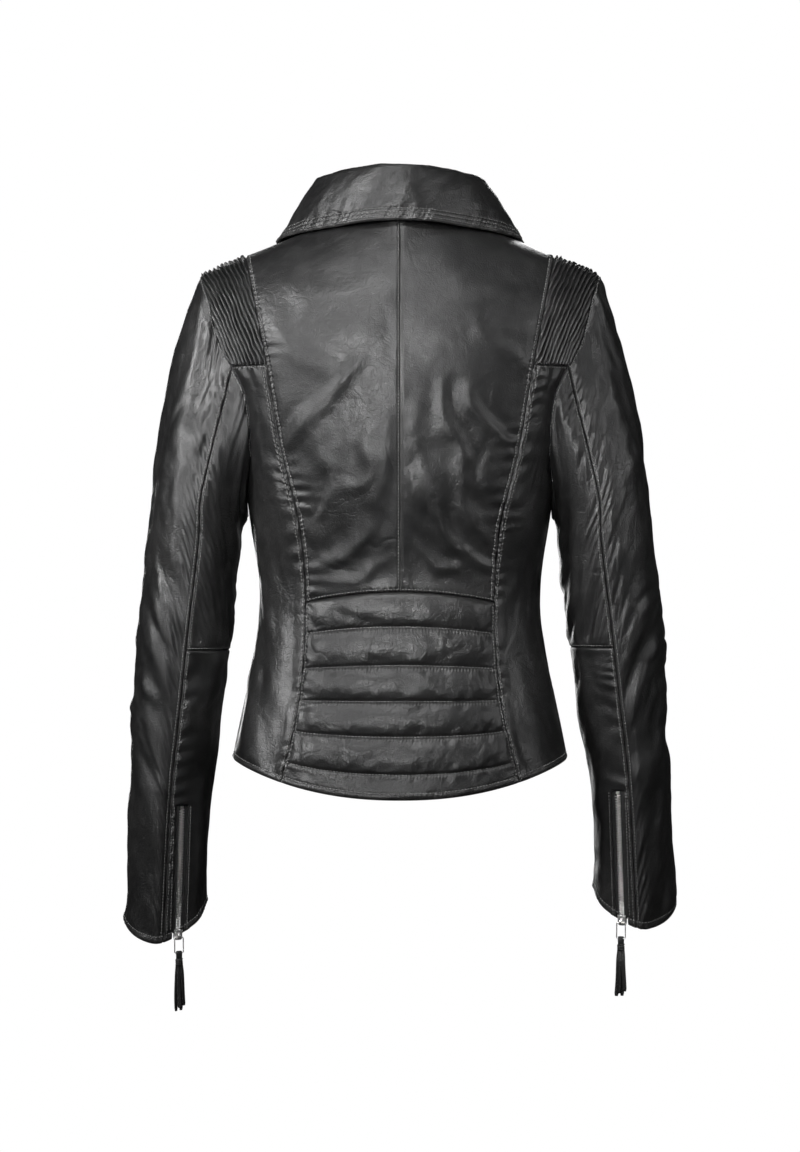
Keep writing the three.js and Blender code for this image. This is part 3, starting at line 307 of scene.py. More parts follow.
# ---- the body's form
class BodyForm:
    """The filled-out form of the jacket's body."""

    def __init__(self) -> None:
        """Works out the form's own heights and its zips' frames."""
        self.tip_z = float(self.ridge(CUT.shoulder_half))
        self.underarm_z = self.tip_z - CUT.armhole_depth
        self.middle_z = (self.tip_z + self.underarm_z) / 2
        self.rib_z = self.middle_z + CUT.armhole_depth / 2 * math.cos(RIB_ANGLE)
        self.side_hem_z = CUT.side_hem_rise - CUT.back_length
        self.front_hem_z = self.side_hem_z - CUT.front_hem_dip
        self.break_z = -CUT.break_drop
        self.nape = self.at(Face.BACK, 0.0, 0.0)
        self.main_zip = ZipFrame.between(
            self.front_at(CUT.zip_hem_x, self.front_hem_z),
            self.front_at(CUT.break_x, self.break_z),
            np.array([-0.12, 1, 0]),
        )
        self.pocket_zips = {side: self._pocket_zip(side) for side in SIDES.values()}

    def _pocket_zip(self, side: int) -> ZipFrame:
        """The frame of one front pocket's zip."""
        top = -CUT.waist_drop - 5
        high = self.front_at(side * CUT.pocket_top_x, top)
        low = self.front_at(side * CUT.pocket_low_x, top - 0.97 * CUT.pocket_zip_length)
        middle = top - CUT.pocket_zip_length / 2
        phi = self.section_angle((CUT.pocket_top_x + CUT.pocket_low_x) / 2, middle)
        return ZipFrame.between(low, high, self.normal(Face.FRONT, phi, middle) * [side, 1, 1])

    def ridge(self, x: Number) -> Number:
        """Height of the shoulder ridge at x, softened at the centre."""
        soften = CUT.ridge_soften
        reach = np.hypot(x, soften) - soften
        at_neck = math.hypot(CUT.neck_half, soften) - soften
        return -CUT.neck_drop - CUT.shoulder_slope * (reach - at_neck)

    def half_width(self, z: Number) -> Number:
        """Half the body's width at a height."""
        below = through(
            [
                (-CUT.back_length, CUT.hem_half + 2),
                (self.side_hem_z, CUT.hem_half),
                (-CUT.waist_drop - 7, CUT.waist_half),
                (self.underarm_z, CUT.chest_half),
            ],
            z,
        )
        f = np.clip((z - self.underarm_z) / CUT.armhole_depth, 0, 1.4)
        wide = CUT.shoulder_half + CUT.shoulder_spread - CUT.chest_half
        return np.where(z <= self.underarm_z, below, CUT.chest_half + wide * f**1.35)

    def depth(self, face: Face, z: Number) -> Number:
        """How far the body's surface is from its middle plane at a height."""
        if face is Face.BACK:
            return through(
                [
                    (-CUT.back_length, 108),
                    (-CUT.waist_drop, 82),
                    (self.underarm_z + 20, 100),
                    (self.rib_z, 102),
                    (-50, 89),
                    (-20, 87),
                    (0, 104),
                ],
                z,
            )
        return through(
            [
                (self.front_hem_z, 110),
                (-CUT.waist_drop, 112),
                (-CUT.break_drop, 122),
                (self.rib_z, mix(66, 122, 0.55)),
                (-80, 66),
                (0, 50),
            ],
            z,
        )

    @staticmethod
    def across(phi: Number) -> Number:
        """Share of the half width at a section angle."""
        return np.sign(np.sin(phi)) * np.abs(np.sin(phi)) ** (2 / CUT.roundness)

    def section_angle(self, x: Number, z: Number) -> Number:
        """The section angle at which the surface passes x at a height."""
        share = x / self.half_width(z)
        return np.sign(share) * np.arcsin(np.minimum(1, np.abs(share)) ** (CUT.roundness / 2))

    def point(self, face: Face, phi: Number, z: Number) -> Grid:
        """A point of the surface at a section angle and height."""
        x = self.half_width(z) * self.across(phi)
        drop = np.clip((self.ridge(x) - z) / CUT.shoulder_round, 0, 1)
        crown = (1 - (1 - drop) ** CUT.roundness) ** (1 / CUT.roundness)
        toward = np.abs(np.cos(phi)) ** (2 / CUT.roundness)
        return stack(x, face.value * self.depth(face, z) * toward * crown, z)

    def at(self, face: Face, x: float, z: float) -> Grid:
        """The surface's point at x and a height."""
        return self.point(face, self.section_angle(x, z), np.asarray(z, float))

    def front_at(self, x: float, z: float) -> Grid:
        """The front's point at x, either side of the centre."""
        return self.at(Face.FRONT, abs(x), z) * [math.copysign(1, x), 1, 1]

    def normal(self, face: Face, phi: Number, z: Number) -> Grid:
        """The surface's outward direction."""
        step = 0.01
        low = np.minimum(phi, math.pi / 2 - step)
        turn = self.point(face, low + step, z) - self.point(face, low - step, z)
        rise = self.point(face, phi, z) - self.point(face, phi, z - 1)
        return unit(np.cross(turn, rise)) * -face.value

    def armhole_x(self, z: Number) -> Number:
        """Where the armhole's edge lies at a height."""
        half, back = CUT.shoulder_half, CUT.across_back_half
        return through(
            [
                (0, half),
                (0.12, half - 9),
                (0.3, half - 19),
                (0.43, back + 17),
                (0.56, back + 4),
                (0.77, back),
                (1, CUT.chest_half),
            ],
            (self.tip_z - z) / CUT.armhole_depth,
        )

    def princess_x(self, z: Number) -> Number:
        """Where the princess seam lies at a height."""
        waist, blade, hem = CUT.princess_waist, CUT.princess_blade, CUT.princess_hem
        return through(
            [
                (-CUT.back_length, hem),
                (-CUT.back_length + 85, mix(hem, waist, 0.75)),
                (-CUT.waist_drop - 20, waist),
                (self.underarm_z - 30, waist + 5),
                (mix(self.underarm_z, self.rib_z, 0.35), mix(waist, blade, 0.62)),
                (self.rib_z, blade),
                (float(self.ridge(CUT.princess_top)), CUT.princess_top),
            ],
            z,
        )

    def opening_x(self, side: int, z: Number) -> Number:
        """Inner edge of a front: along the zip up to the break, then up the lapel's roll line."""
        f = (z - self.front_hem_z) / (self.break_z - self.front_hem_z)
        below = side * (mix(CUT.zip_hem_x, CUT.break_x, f) + side * CUT.zip_slot_half)
        start = side * (CUT.break_x + side * CUT.zip_slot_half)
        rise = np.minimum(1, (z - self.break_z) / (-CUT.neck_drop - self.break_z))
        return np.where(f <= 1, below, mix(start, CUT.neck_half, rise))

    def line_angle(self, line: Line, side: int, z: Number) -> Number:
        """The section angle of one of the body's lines at a height."""
        if line is Line.CENTRE:
            return np.zeros_like(z)
        if line is Line.PRINCESS:
            return self.section_angle(self.princess_x(z), z)
        if line is Line.SIDE:
            seam = self.section_angle(self.armhole_x(z), z)
            return np.where(z <= self.underarm_z + 1e-6, math.pi / 2, seam)
        inset = 0 if line is Line.OPENING else 10.5
        return self.section_angle(self.opening_x(side, z) + inset, z)

    def hem_z(self, face: Face, x: Number) -> Number:
        """Height of the hem at x."""
        share = np.minimum(1, np.abs(x) / CUT.hem_half)
        if face is Face.BACK:
            return -CUT.back_length + CUT.side_hem_rise * share**2.2
        return self.side_hem_z - CUT.front_hem_dip * (1 - share**2)

    def row_z(self, face: Face, row: Number, x: Number) -> Number:
        """Height of one of the body's row lines at x, from 0 at the hem to 16 at the shoulder."""
        back = face is Face.BACK
        arch = np.maximum(0, 1 - (x / CUT.princess_waist) ** 2) if back else 0
        waist = -CUT.waist_drop + CUT.lumbar_arch * arch
        neck = -CUT.neck_drop * (x / CUT.neck_half) ** 2
        top = np.where(back & (np.abs(x) < CUT.neck_half), neck, self.ridge(x))
        turn = self.ring_turn(row)
        end = math.cos(RIB_ANGLE)
        z = mix(self.hem_z(face, x), waist, row / WAIST_ROW)
        z = np.where(row > WAIST_ROW, mix(waist, self.underarm_z, (row - WAIST_ROW) / 3), z)
        z = np.where(row > UNDERARM_ROW, mix(self.underarm_z, self.rib_z, (np.cos(turn) + 1) / (end + 1)), z)
        return np.where(row > RIB_ROW, mix(self.rib_z, top, (np.cos(turn) - end) / (1 - end)), z)

    @staticmethod
    def ring_turn(row: Number) -> Number:
        """The armhole's ring angle at a row above the underarm."""
        below = mix(math.pi, RIB_ANGLE, (row - UNDERARM_ROW) / (RIB_ROW - UNDERARM_ROW))
        return np.where(row <= RIB_ROW, below, mix(RIB_ANGLE, 0, (row - RIB_ROW) / (TOP_ROW - RIB_ROW)))

    def locate(
        self, face: Face, side: int, row: Number, ends: tuple[Line, Line], share: Number
    ) -> tuple[Number, Number]:
        """Where row lines cross a share of the way between two lines.

        Args:
            face: Back or front.
            side: -1 or 1.
            row: Row numbers.
            ends: The lines that share runs between.
            share: From 0 to 1.

        Returns:
            The section angles and the heights.
        """
        row, share = (a.astype(float) for a in np.broadcast_arrays(row, share))
        z = self.row_z(face, row, np.full(row.shape, CUT.princess_waist))
        phi = np.zeros_like(z)
        for _ in range(12):
            phi = mix(self.line_angle(ends[0], side, z), self.line_angle(ends[1], side, z), share)
            z = self.row_z(face, row, self.half_width(z) * self.across(phi))
        return phi, z

    def surface(self, face: Face, side: int, ends: tuple[Line, Line]) -> Callable[[Number, Number], Grid]:
        """The surface between two lines, as a function of row and share."""

        def spot(row: Number, share: Number) -> Grid:
            phi, z = self.locate(face, side, row, ends, share)
            points = self.point(face, phi, z) * [side, 1, 1]
            if face is Face.FRONT:
                points = self.main_zip.press(self.pocket_zips[side].press(points))
            return points

        return spot

    def armhole(self, angle: Number) -> Grid:
        """The right armhole's edge at a ring angle, 0 at the shoulder and half a turn underarm."""
        angle = np.mod(angle, TURN)
        turn = np.minimum(angle, TURN - angle)
        low = UNDERARM_ROW + (RIB_ROW - UNDERARM_ROW) * (math.pi - turn) / (math.pi - RIB_ANGLE)
        high = RIB_ROW + (TOP_ROW - RIB_ROW) * (RIB_ANGLE - turn) / RIB_ANGLE
        row = np.where(turn >= RIB_ANGLE, low, high)
        ends = (Line.PRINCESS, Line.SIDE)
        back = self.point(Face.BACK, *self.locate(Face.BACK, 1, row, ends, 1.0))
        front = self.point(Face.FRONT, *self.locate(Face.FRONT, 1, row, ends, 1.0))
        return np.where((angle <= math.pi)[..., None], back, front)


# ---- the sleeves' form
class SleeveForm:
    """The form of one sleeve, from the armhole to the cuff."""

    UNDERARM_EASE = 1.6
    ARMHOLE_FADE = 0.3
    RIDE_START = 0.36

    def __init__(self, body: BodyForm, side: int) -> None:
        """Works out the sleeve's stations and its zip.

        Args:
            body: The form that it is sewn to.
            side: -1 or 1.
        """
        self.body, self.side = body, side
        self.ride = CUT.ride_up_right if side > 0 else 0.0
        lean = CUT.shoulder_half - CUT.chest_half
        self.tilt = math.atan2(CUT.armhole_depth, lean)
        self.middle_x = (CUT.shoulder_half + CUT.chest_half) / 2
        self.ring_half = math.hypot(CUT.armhole_depth, lean) / 2
        shares = [0, 0.12, 0.24, 0.36, 0.5, 0.65, 0.82, 1]
        out = [0, 13, 22.5, 29, 38, 45, 54, 58.8]
        down = [0.411, 0.542, 0.678, 0.837, 1]
        drops = [body.middle_z - d for d in (0, 51, 98.5)] + [body.tip_z - d * CUT.sleeve_drop for d in down]
        elbow = CUT.elbow_half
        halves = [self.ring_half, 81.6, 55.6, CUT.bicep_half, elbow, elbow - 2.5]
        halves += [CUT.forearm_half, CUT.cuff_half]
        self.x = [(t, self.middle_x + v) for t, v in zip(shares, out)]
        self.z = list(zip(shares, drops))
        self.half = list(zip(shares, halves))
        tilts = [self.tilt, *(math.radians(d) for d in (63.8, 41, 15, 2, 0, 0))]
        self.lean = list(zip([0, 0.12, 0.24, 0.36, 0.5, 0.65, 1], tilts))
        self.deep = list(zip([0, 0.24, 0.36, 0.5, 0.65, 0.82, 1], [60, 61, 59, 55, 50, 44, CUT.cuff_half]))
        self.forward = list(zip([0, 0.36, 0.5, 0.65, 0.82, 1], [0, 2, 4, 9, 17, 26]))
        self.zip: Optional[ZipFrame] = None
        low = self.point(ZIP_ANGLE, 1.0)
        near, far = 1.0, 0.6
        for _ in range(30):
            t = (near + far) / 2
            if np.linalg.norm(self.point(ZIP_ANGLE, t) - low) < CUT.cuff_zip_length:
                near = t
            else:
                far = t
        self.zip_top = near
        out_way = self.normal(ZIP_ANGLE, (1 + near) / 2)
        self.zip = ZipFrame.between(low, self.point(ZIP_ANGLE, near), out_way)

    def point(self, angle: Number, t: Number) -> Grid:
        """A point of the sleeve at a ring angle and a share of the way down."""
        angle, t = (a.astype(float) for a in np.broadcast_arrays(angle, t))
        ring, lean = through(self.half, t) * np.cos(angle), through(self.lean, t)
        x = through(self.x, t) + ring * np.cos(lean)
        z = through(self.z, t) + ring * np.sin(lean)
        y = through(self.forward, t) - through(self.deep, t) * np.sin(angle)
        keep = 1 - smooth(t / self.ARMHOLE_FADE)
        if np.any(keep > 0):
            start = self.body.armhole(angle)
            flat = self.ring_half * np.cos(angle)
            x = x + keep * (start[..., 0] - self.middle_x - flat * math.cos(self.tilt))
            z = z + keep * (start[..., 2] - self.body.middle_z - flat * math.sin(self.tilt))
            y = mix(y, start[..., 1], keep)
        x = x + self.UNDERARM_EASE * np.maximum(0, -np.cos(angle)) ** 2 * smooth(t / 0.02) * keep
        dip = 8 * (1 - np.cos(angle)) - CUT.cuff_point * np.maximum(0, np.sin(angle)) ** 1.5
        z = z + smooth((t - 0.8) / 0.2) * dip
        z = z + self.ride * smooth((t - self.RIDE_START) / (1 - self.RIDE_START))
        points = stack(self.side * x, y, z)
        return self.zip.press(points) if self.zip else points

    def normal(self, angle: float, t: float) -> Grid:
        """The sleeve's outward direction."""
        step = 0.02
        low = min(t, 1 - step)
        turn = self.point(angle + step, t) - self.point(angle - step, t)
        down = self.point(angle, low + step) - self.point(angle, low)
        return unit(np.cross(turn, down)) * self.side

    @staticmethod
    def seam_angle(t: Number) -> Number:
        """The ring angle of the back seam at a share of the way down."""
        degrees = [(0, 81), (0.12, 86), (0.24, 94), (0.36, 100), (0.5, 99), (0.7, 95), (1, 90)]
        return np.radians(through(degrees, t))

    def beside_zip(self, t: Number, across: float) -> Number:
        """The ring angle at t of the point that lies a distance across from the zip's line."""
        t = np.maximum(t, self.zip_top)
        angle = np.full(np.shape(t), ZIP_ANGLE)
        for _ in range(8):
            local = self.zip.local(self.point(angle, t))
            angle = angle + (self.side * local[..., 0] - across) / CUT.cuff_half
        return angle

    def core(self, t: Number) -> Grid:
        """The middle of the sleeve at a share of the way down."""
        return stack(self.side * through(self.x, t), through(self.forward, t), through(self.z, t))


# ---- meshes
@contextmanager
def shaping(mesh: Mesh) -> Iterator[bmesh.types.BMesh]:
    """Opens a mesh for shaping and writes it back."""
    bm = bmesh.new()
    bm.from_mesh(mesh)
    yield bm
    bm.to_mesh(mesh)
    bm.free()


def grid_mesh(name: str, points: Grid, flip: bool = False, weld: bool = False) -> Mesh:
    """A mesh of quads over a grid of points, with a UV map in metres.

    Args:
        name: The mesh's name.
        points: Rows by columns by 3, in millimetres.
        flip: Turns the faces round.
        weld: Merges points that coincide and closes the ends.

    Returns:
        The mesh, in metres.
    """
    rows, columns = points.shape[:2]
    mesh = bpy.data.meshes.new(name)
    with shaping(mesh) as bm:
        bm.loops.layers.uv.new("UVMap")
        bmesh.ops.create_grid(bm, x_segments=columns - 1, y_segments=rows - 1, size=1.0, calc_uvs=True)
        if flip:
            bmesh.ops.reverse_faces(bm, faces=bm.faces[:])
    spots = (vertex_array(mesh)[:, :2] + 1) / 2 * [columns - 1, rows - 1]
    j, i = np.rint(spots).astype(int).T
    placed = (points[i, j] * MM).astype(np.float32)
    mesh.vertices.foreach_set("co", placed.ravel())
    over, up = run_along(points[rows // 2]), run_along(points[:, columns // 2])
    corner = np.empty(len(mesh.loops), np.int32)
    mesh.loops.foreach_get("vertex_index", corner)
    flat = np.stack([over[j], up[i]], axis=1)[corner] * MM
    mesh.uv_layers[0].data.foreach_set("uv", flat.astype(np.float32).ravel())
    if weld:
        close_up(mesh)
    mesh.shade_smooth()
    mesh.update()
    return mesh


def close_up(mesh: Mesh) -> None:
    """Merges a mesh's coinciding points, fills its open ends and turns its faces out."""
    with shaping(mesh) as bm:
        bmesh.ops.remove_doubles(bm, verts=bm.verts[:], dist=2e-6)
        bmesh.ops.holes_fill(bm, edges=[e for e in bm.edges if e.is_boundary])
        bmesh.ops.recalc_face_normals(bm, faces=bm.faces[:])


def new_object(name: str, mesh: Mesh, material: Material) -> Object:
    """An object at the origin that shows a mesh in a material."""
    mesh.materials.clear()
    mesh.materials.append(material)
    piece = bpy.data.objects.new(name, mesh)
    bpy.context.scene.collection.objects.link(piece)
    return piece


def walled(piece: Object, thickness: float, offset: float) -> Object:
    """A piece given a thickness in millimetres, inwards at an offset of -1."""
    wall = piece.modifiers.new("wall", "SOLIDIFY")
    wall.thickness, wall.offset = thickness * MM, offset
    return piece


def rod(
    path: Grid,
    half_x: Number,
    half_z: Number,
    sides: int = 10,
    across: Optional[Grid] = None,
    closed: bool = False,
    squareness: float = 1.0,
) -> Grid:
    """Points of a bar swept along a path.

    Args:
        path: The points that it follows.
        half_x: Half its width along across.
        half_z: Half its thickness.
        sides: Points round its section.
        across: The direction of its width.
        closed: Whether the path comes back to its start.
        squareness: Below 1 the section is squarer than an ellipse.

    Returns:
        Rows along the path by points round the section.
    """
    path = np.asarray(path, float)
    if closed:
        tangent = unit(np.roll(path, -1, 0) - np.roll(path, 1, 0))
    else:
        tangent = unit(np.gradient(path, axis=0))
    wide = np.broadcast_to(np.array([1.0, 0, 0]) if across is None else across, path.shape)
    wide = unit(wide - tangent * np.sum(wide * tangent, axis=1, keepdims=True))
    thick = np.cross(wide, tangent)
    angle = np.linspace(0, TURN, sides + 1)
    c = np.sign(np.cos(angle)) * np.abs(np.cos(angle)) ** squareness
    s = np.sign(np.sin(angle)) * np.abs(np.sin(angle)) ** squareness
    half_x, half_z = (np.broadcast_to(h, len(path))[:, None, None] for h in (half_x, half_z))
    ring = path[:, None] + wide[:, None] * c[None, :, None] * half_x
    ring = ring + thick[:, None] * s[None, :, None] * half_z
    return np.concatenate([ring, ring[:1]]) if closed else ring


def block_mesh(name: str, size: Sequence[float], rounding: float, segments: int = 2) -> Mesh:
    """A box about the origin with rounded edges, in millimetres."""
    mesh = bpy.data.meshes.new(name)
    with shaping(mesh) as bm:
        bmesh.ops.create_cube(bm, size=1.0)
        bmesh.ops.scale(bm, vec=Vector(size), verts=bm.verts[:])
        bmesh.ops.bevel(
            bm, geom=bm.edges[:], offset=rounding, segments=segments, profile=0.5, affect="EDGES", material=-1
        )
    mesh.shade_smooth()
    return mesh


def vertex_array(mesh: Mesh) -> Grid:
    """A mesh's vertices."""
    co = np.empty(len(mesh.vertices) * 3, np.float32)
    mesh.vertices.foreach_get("co", co)
    return co.reshape(-1, 3).astype(float)


def joined(name: str, parts: Iterable[tuple[Mesh, np.ndarray]]) -> Mesh:
    """One mesh of several, each moved by its own matrix.

    Args:
        name: The new mesh's name.
        parts: Pairs of mesh and 4x4 matrix, where a matrix of None keeps the mesh as it is.

    Returns:
        The joined mesh.
    """
    bm = bmesh.new()
    placed = []
    for mesh, matrix in parts:
        bm.from_mesh(mesh)
        points = vertex_array(mesh)
        placed.append(points if matrix is None else points @ matrix[:3, :3].T + matrix[:3, 3])
    mesh = bpy.data.meshes.new(name)
    bm.to_mesh(mesh)
    bm.free()
    mesh.vertices.foreach_set("co", np.concatenate(placed).astype(np.float32).ravel())
    mesh.shade_smooth()
    mesh.update()
    return mesh


def frame_matrix(frame: ZipFrame, at: Sequence[float] = (0, 0, 0), mirror: bool = False) -> np.ndarray:
    """The matrix that puts a piece in millimetres at a point of a frame, in metres."""
    matrix = np.eye(4)
    flip = np.diag([-1.0, -1.0, 1.0]) if mirror else np.eye(3)
    matrix[:3, :3] = frame.axes @ flip * MM
    matrix[:3, 3] = frame.place(at) * MM
    return matrix


# ---- shader nodes
@dataclass
class Wire:
    """A node's output that takes part in sums, each of which adds its Math node."""

    recipe: "Recipe"
    socket: bpy.types.NodeSocket

    def _math(self, operation: str, first: "Value", second: "Value") -> "Wire":
        """A Math node over two values."""
        return self.recipe.add("ShaderNodeMath", {"operation": operation}, {0: first, 1: second})

    def __add__(self, other: "Value") -> "Wire":
        """The sum."""
        return self._math("ADD", self, other)

    def __sub__(self, other: "Value") -> "Wire":
        """The difference."""
        return self._math("SUBTRACT", self, other)

    def __rsub__(self, other: "Value") -> "Wire":
        """The difference, the other way round."""
        return self._math("SUBTRACT", other, self)

    def __mul__(self, other: "Value") -> "Wire":
        """The product."""
        return self._math("MULTIPLY", self, other)

    def __pow__(self, other: "Value") -> "Wire":
        """The power."""
        return self._math("POWER", self, other)

    def __abs__(self) -> "Wire":
        """The size without its sign."""
        return self._math("ABSOLUTE", self, 0.0)

    __radd__, __rmul__ = __add__, __mul__

    def ramp(self, low: float, high: float, start: float = 0.0, end: float = 1.0) -> "Wire":
        """The value eased from start to end as it goes from low to high."""
        sockets = {"Value": self, "From Min": low, "From Max": high, "To Min": start, "To Max": end}
        return self.recipe.add("ShaderNodeMapRange", {"interpolation_type": "SMOOTHSTEP"}, sockets)


Value = Union[Wire, float, tuple]


class Recipe:
    """One material's nodes."""

    def __init__(self, name: str) -> None:
        """Starts a material with a surface shader.

        Args:
            name: The material's name.
        """
        self.material = bpy.data.materials.new(name)
        self.material.use_nodes = True
        self.tree = self.material.node_tree
        self.tree.nodes.clear()
        self.surface = self.tree.nodes.new("ShaderNodeBsdfPrincipled")
        output = self.tree.nodes.new("ShaderNodeOutputMaterial")
        self.tree.links.new(self.surface.outputs[0], output.inputs[0])

    def _fill(self, node: bpy.types.Node, sockets: dict[Union[str, int], Value]) -> None:
        """Sets or links a node's inputs."""
        for key, value in sockets.items():
            if isinstance(value, Wire):
                self.tree.links.new(value.socket, node.inputs[key])
            else:
                node.inputs[key].default_value = value

    def add(self, kind: str, settings: Optional[dict] = None, sockets: Optional[dict] = None,
            output: Union[str, int] = 0) -> Wire:
        """Adds a node.

        Args:
            kind: The node's type.
            settings: Its own settings, which are set first.
            sockets: Values or wires for its inputs, by name or place.
            output: Which of its outputs to return.

        Returns:
            The output.
        """
        node = self.tree.nodes.new(kind)
        for key, value in (settings or {}).items():
            setattr(node, key, value)
        self._fill(node, sockets or {})
        return Wire(self, node.outputs[output])

    def place(self, source: str = "Object") -> Wire:
        """The coordinates of the surface."""
        return self.add("ShaderNodeTexCoord", output=source)

    def noise(self, at: Wire, scale: float, detail: float = 3.0, distortion: float = 0.0) -> Wire:
        """Clouds of a size, about 0 to 1."""
        sockets = {"Vector": at, "Scale": scale, "Detail": detail, "Distortion": distortion}
        return self.add("ShaderNodeTexNoise", None, sockets)

    def blend(self, factor: Wire, low: Sequence[float], high: Sequence[float]) -> Wire:
        """A colour between two."""
        node = self.tree.nodes.new("ShaderNodeMix")
        node.data_type = "RGBA"
        by_name = {(s.name, s.type): s for s in node.inputs}
        self.tree.links.new(factor.socket, by_name["Factor", "VALUE"])
        by_name["A", "RGBA"].default_value = (*low, 1.0)
        by_name["B", "RGBA"].default_value = (*high, 1.0)
        return Wire(self, next(s for s in node.outputs if s.type == "RGBA"))

    def bump(self, height: Wire, distance: float, strength: float = 1.0) -> Wire:
        """A normal from a height from 0 to 1 that stands for a distance in metres."""
        sockets = {"Height": height, "Distance": distance, "Strength": strength}
        return self.add("ShaderNodeBump", None, sockets)

    def dress(self, **sockets: Value) -> Material:
        """Sets the surface shader's inputs, named with underscores, and returns the material."""
        self._fill(self.surface, {key.replace("_", " "): value for key, value in sockets.items()})
        return self.material


@dataclass(frozen=True)
class LeatherFinish:
    """Black aniline leather: a fine grain, faint creases, patches of polish, and a pale per-vertex mark that
    is partly wear and partly painted highlight on rib crests and quilt rolls.
    """

    name: str = "nappa"
    dark: tuple[float, float, float] = (0.0055, 0.0055, 0.0057)
    # The pale tone serves random patches, wear and painted highlights alike.
    pale: tuple[float, float, float] = (0.045, 0.0445, 0.044)
    grain: float = 900.0
    polish: float = 0.25
    dull: float = 0.42

    def make(self) -> Material:
        """Builds the material."""
        r = Recipe(self.name)
        at = r.place()
        wear_and_highlight = r.add("ShaderNodeAttribute", {"attribute_name": "wear_and_highlight"}, output="Fac")
        patches = r.noise(at, 11.0, 4.0, 0.6)
        mottle = r.noise(at, 70.0, 5.0, 0.8)
        sockets = {"Vector": at, "Scale": self.grain, "Smoothness": 0.35, "Randomness": 1.0}
        cells = r.add("ShaderNodeTexVoronoi", {"feature": "SMOOTH_F1"}, sockets, "Distance")
        pores = r.noise(at, 2600.0, 2.0)
        veins = 1.0 - abs(r.noise(at, 150.0, 6.0, 1.4) - 0.5) * 9.0
        veins = veins.ramp(0.0, 1.0)
        broad = 1.0 - abs(r.noise(at, 44.0, 5.0, 1.8) - 0.5) * 14.0
        broad = broad.ramp(0.0, 1.0) * patches.ramp(0.42, 0.62)
        height = cells * -0.55 + pores * 0.18 + veins * -0.3 + broad * -0.6 + mottle * 0.8
        # Colour: paler where the per-vertex mark is up (along seam bands, the collar's edge, and as painted
        # highlights on rib crests and just under quilting lines) and in random patches and mottle.
        tone_and_highlight = wear_and_highlight * 0.75 + patches.ramp(0.35, 0.75) * 0.35 + mottle.ramp(0.4, 0.8) * 0.2
        rough = patches.ramp(0.3, 0.7, self.dull, self.polish) + cells * 0.1 - wear_and_highlight * 0.07
        return r.dress(
            Base_Color=r.blend(tone_and_highlight, self.dark, self.pale),
            Roughness=rough,
            Normal=r.bump(height, 0.00022, 0.85),
            Specular_IOR_Level=0.5,
            IOR=1.5,
        )


@dataclass(frozen=True)
class WovenFinish:
    """A woven cloth whose threads follow the piece's own UV map."""

    name: str
    dark: tuple[float, float, float]
    pale: tuple[float, float, float]
    threads: float
    rough: float
    sheen: float = 0.0

    def make(self) -> Material:
        """Builds the material."""
        r = Recipe(self.name)
        at = r.place("UV")
        sockets = {"Vector": at, "Scale": self.threads, "Distortion": 0.4}
        warp, weft = (r.add("ShaderNodeTexWave", {"bands_direction": way}, sockets, "Fac") for way in "XY")
        weave = warp * 0.5 + weft * 0.5
        cloud = r.noise(r.place(), 30.0, 4.0)
        return r.dress(
            Base_Color=r.blend(weave * 0.6 + cloud * 0.4, self.dark, self.pale),
            Roughness=cloud.ramp(0.3, 0.7, self.rough - 0.06, self.rough + 0.06),
            Normal=r.bump(weave, 0.00012, 0.6),
            Sheen_Weight=self.sheen,
            Sheen_Roughness=0.4,
        )


@dataclass(frozen=True)
class MetalFinish:
    """Polished nickel, tarnished in hazy patches, with fine scratches."""

    name: str = "nickel"
    bright: tuple[float, float, float] = (0.97, 0.96, 0.95)
    tarnish: tuple[float, float, float] = (0.7, 0.69, 0.68)

    def make(self) -> Material:
        """Builds the material."""
        r = Recipe(self.name)
        at = r.place()
        haze = r.noise(at, 260.0, 4.0, 0.5)
        scratch = r.noise(at, 1900.0, 3.0, 2.0)
        return r.dress(
            Base_Color=r.blend(haze.ramp(0.55, 0.8), self.bright, self.tarnish),
            Metallic=1.0,
            Roughness=haze.ramp(0.3, 0.8, 0.28, 0.44),
            Normal=r.bump(scratch, 0.00003, 0.5),
        )


@dataclass(frozen=True)
class ThreadFinish:
    """Waxed black sewing thread with its twist, painted lighter than black, with pale streaks that stand for
    its glints.
    """

    name: str = "thread"
    # Both tones are lighter than black thread; the pale one is a painted glint.
    dark: tuple[float, float, float] = (0.05, 0.05, 0.05)
    pale: tuple[float, float, float] = (0.27, 0.27, 0.265)

    def make(self) -> Material:
        """Builds the material."""
        r = Recipe(self.name)
        twist = r.noise(r.place(), 3000.0, 2.0)
        return r.dress(
            # Painted highlight: the pale streaks along the twist stand for glints on the thread.
            Base_Color=r.blend(twist.ramp(0.3, 0.7), self.dark, self.pale),
            Roughness=twist.ramp(0.3, 0.7, 0.5, 0.32),
            Normal=r.bump(twist, 0.0001, 0.7),
        )


@dataclass(frozen=True)
class FeltFinish:
    """Needled wadding."""

    name: str = "felt"
    dark: tuple[float, float, float] = (0.05, 0.05, 0.052)
    pale: tuple[float, float, float] = (0.16, 0.16, 0.165)

    def make(self) -> Material:
        """Builds the material."""
        r = Recipe(self.name)
        fluff = r.noise(r.place(), 700.0, 6.0, 2.0)
        return r.dress(
            Base_Color=r.blend(fluff.ramp(0.3, 0.7), self.dark, self.pale),
            Roughness=fluff.ramp(0.3, 0.7, 0.9, 1.0),
            Normal=r.bump(fluff, 0.0006, 0.8),
        )


class Finishes:
    """Every material that the jacket is dressed in."""

    def __init__(self) -> None:
        """Makes the materials."""
        self.leather = LeatherFinish().make()
        satin_dark, satin_pale = (0.006, 0.006, 0.007), (0.02, 0.02, 0.022)
        self.satin = WovenFinish("satin", satin_dark, satin_pale, 900.0, 0.42, 0.3).make()
        self.tape = WovenFinish("zip_tape", (0.004,) * 3, (0.022,) * 3, 700.0, 0.8).make()
        self.nickel = MetalFinish().make()
        self.thread = ThreadFinish().make()
        self.felt = FeltFinish().make()


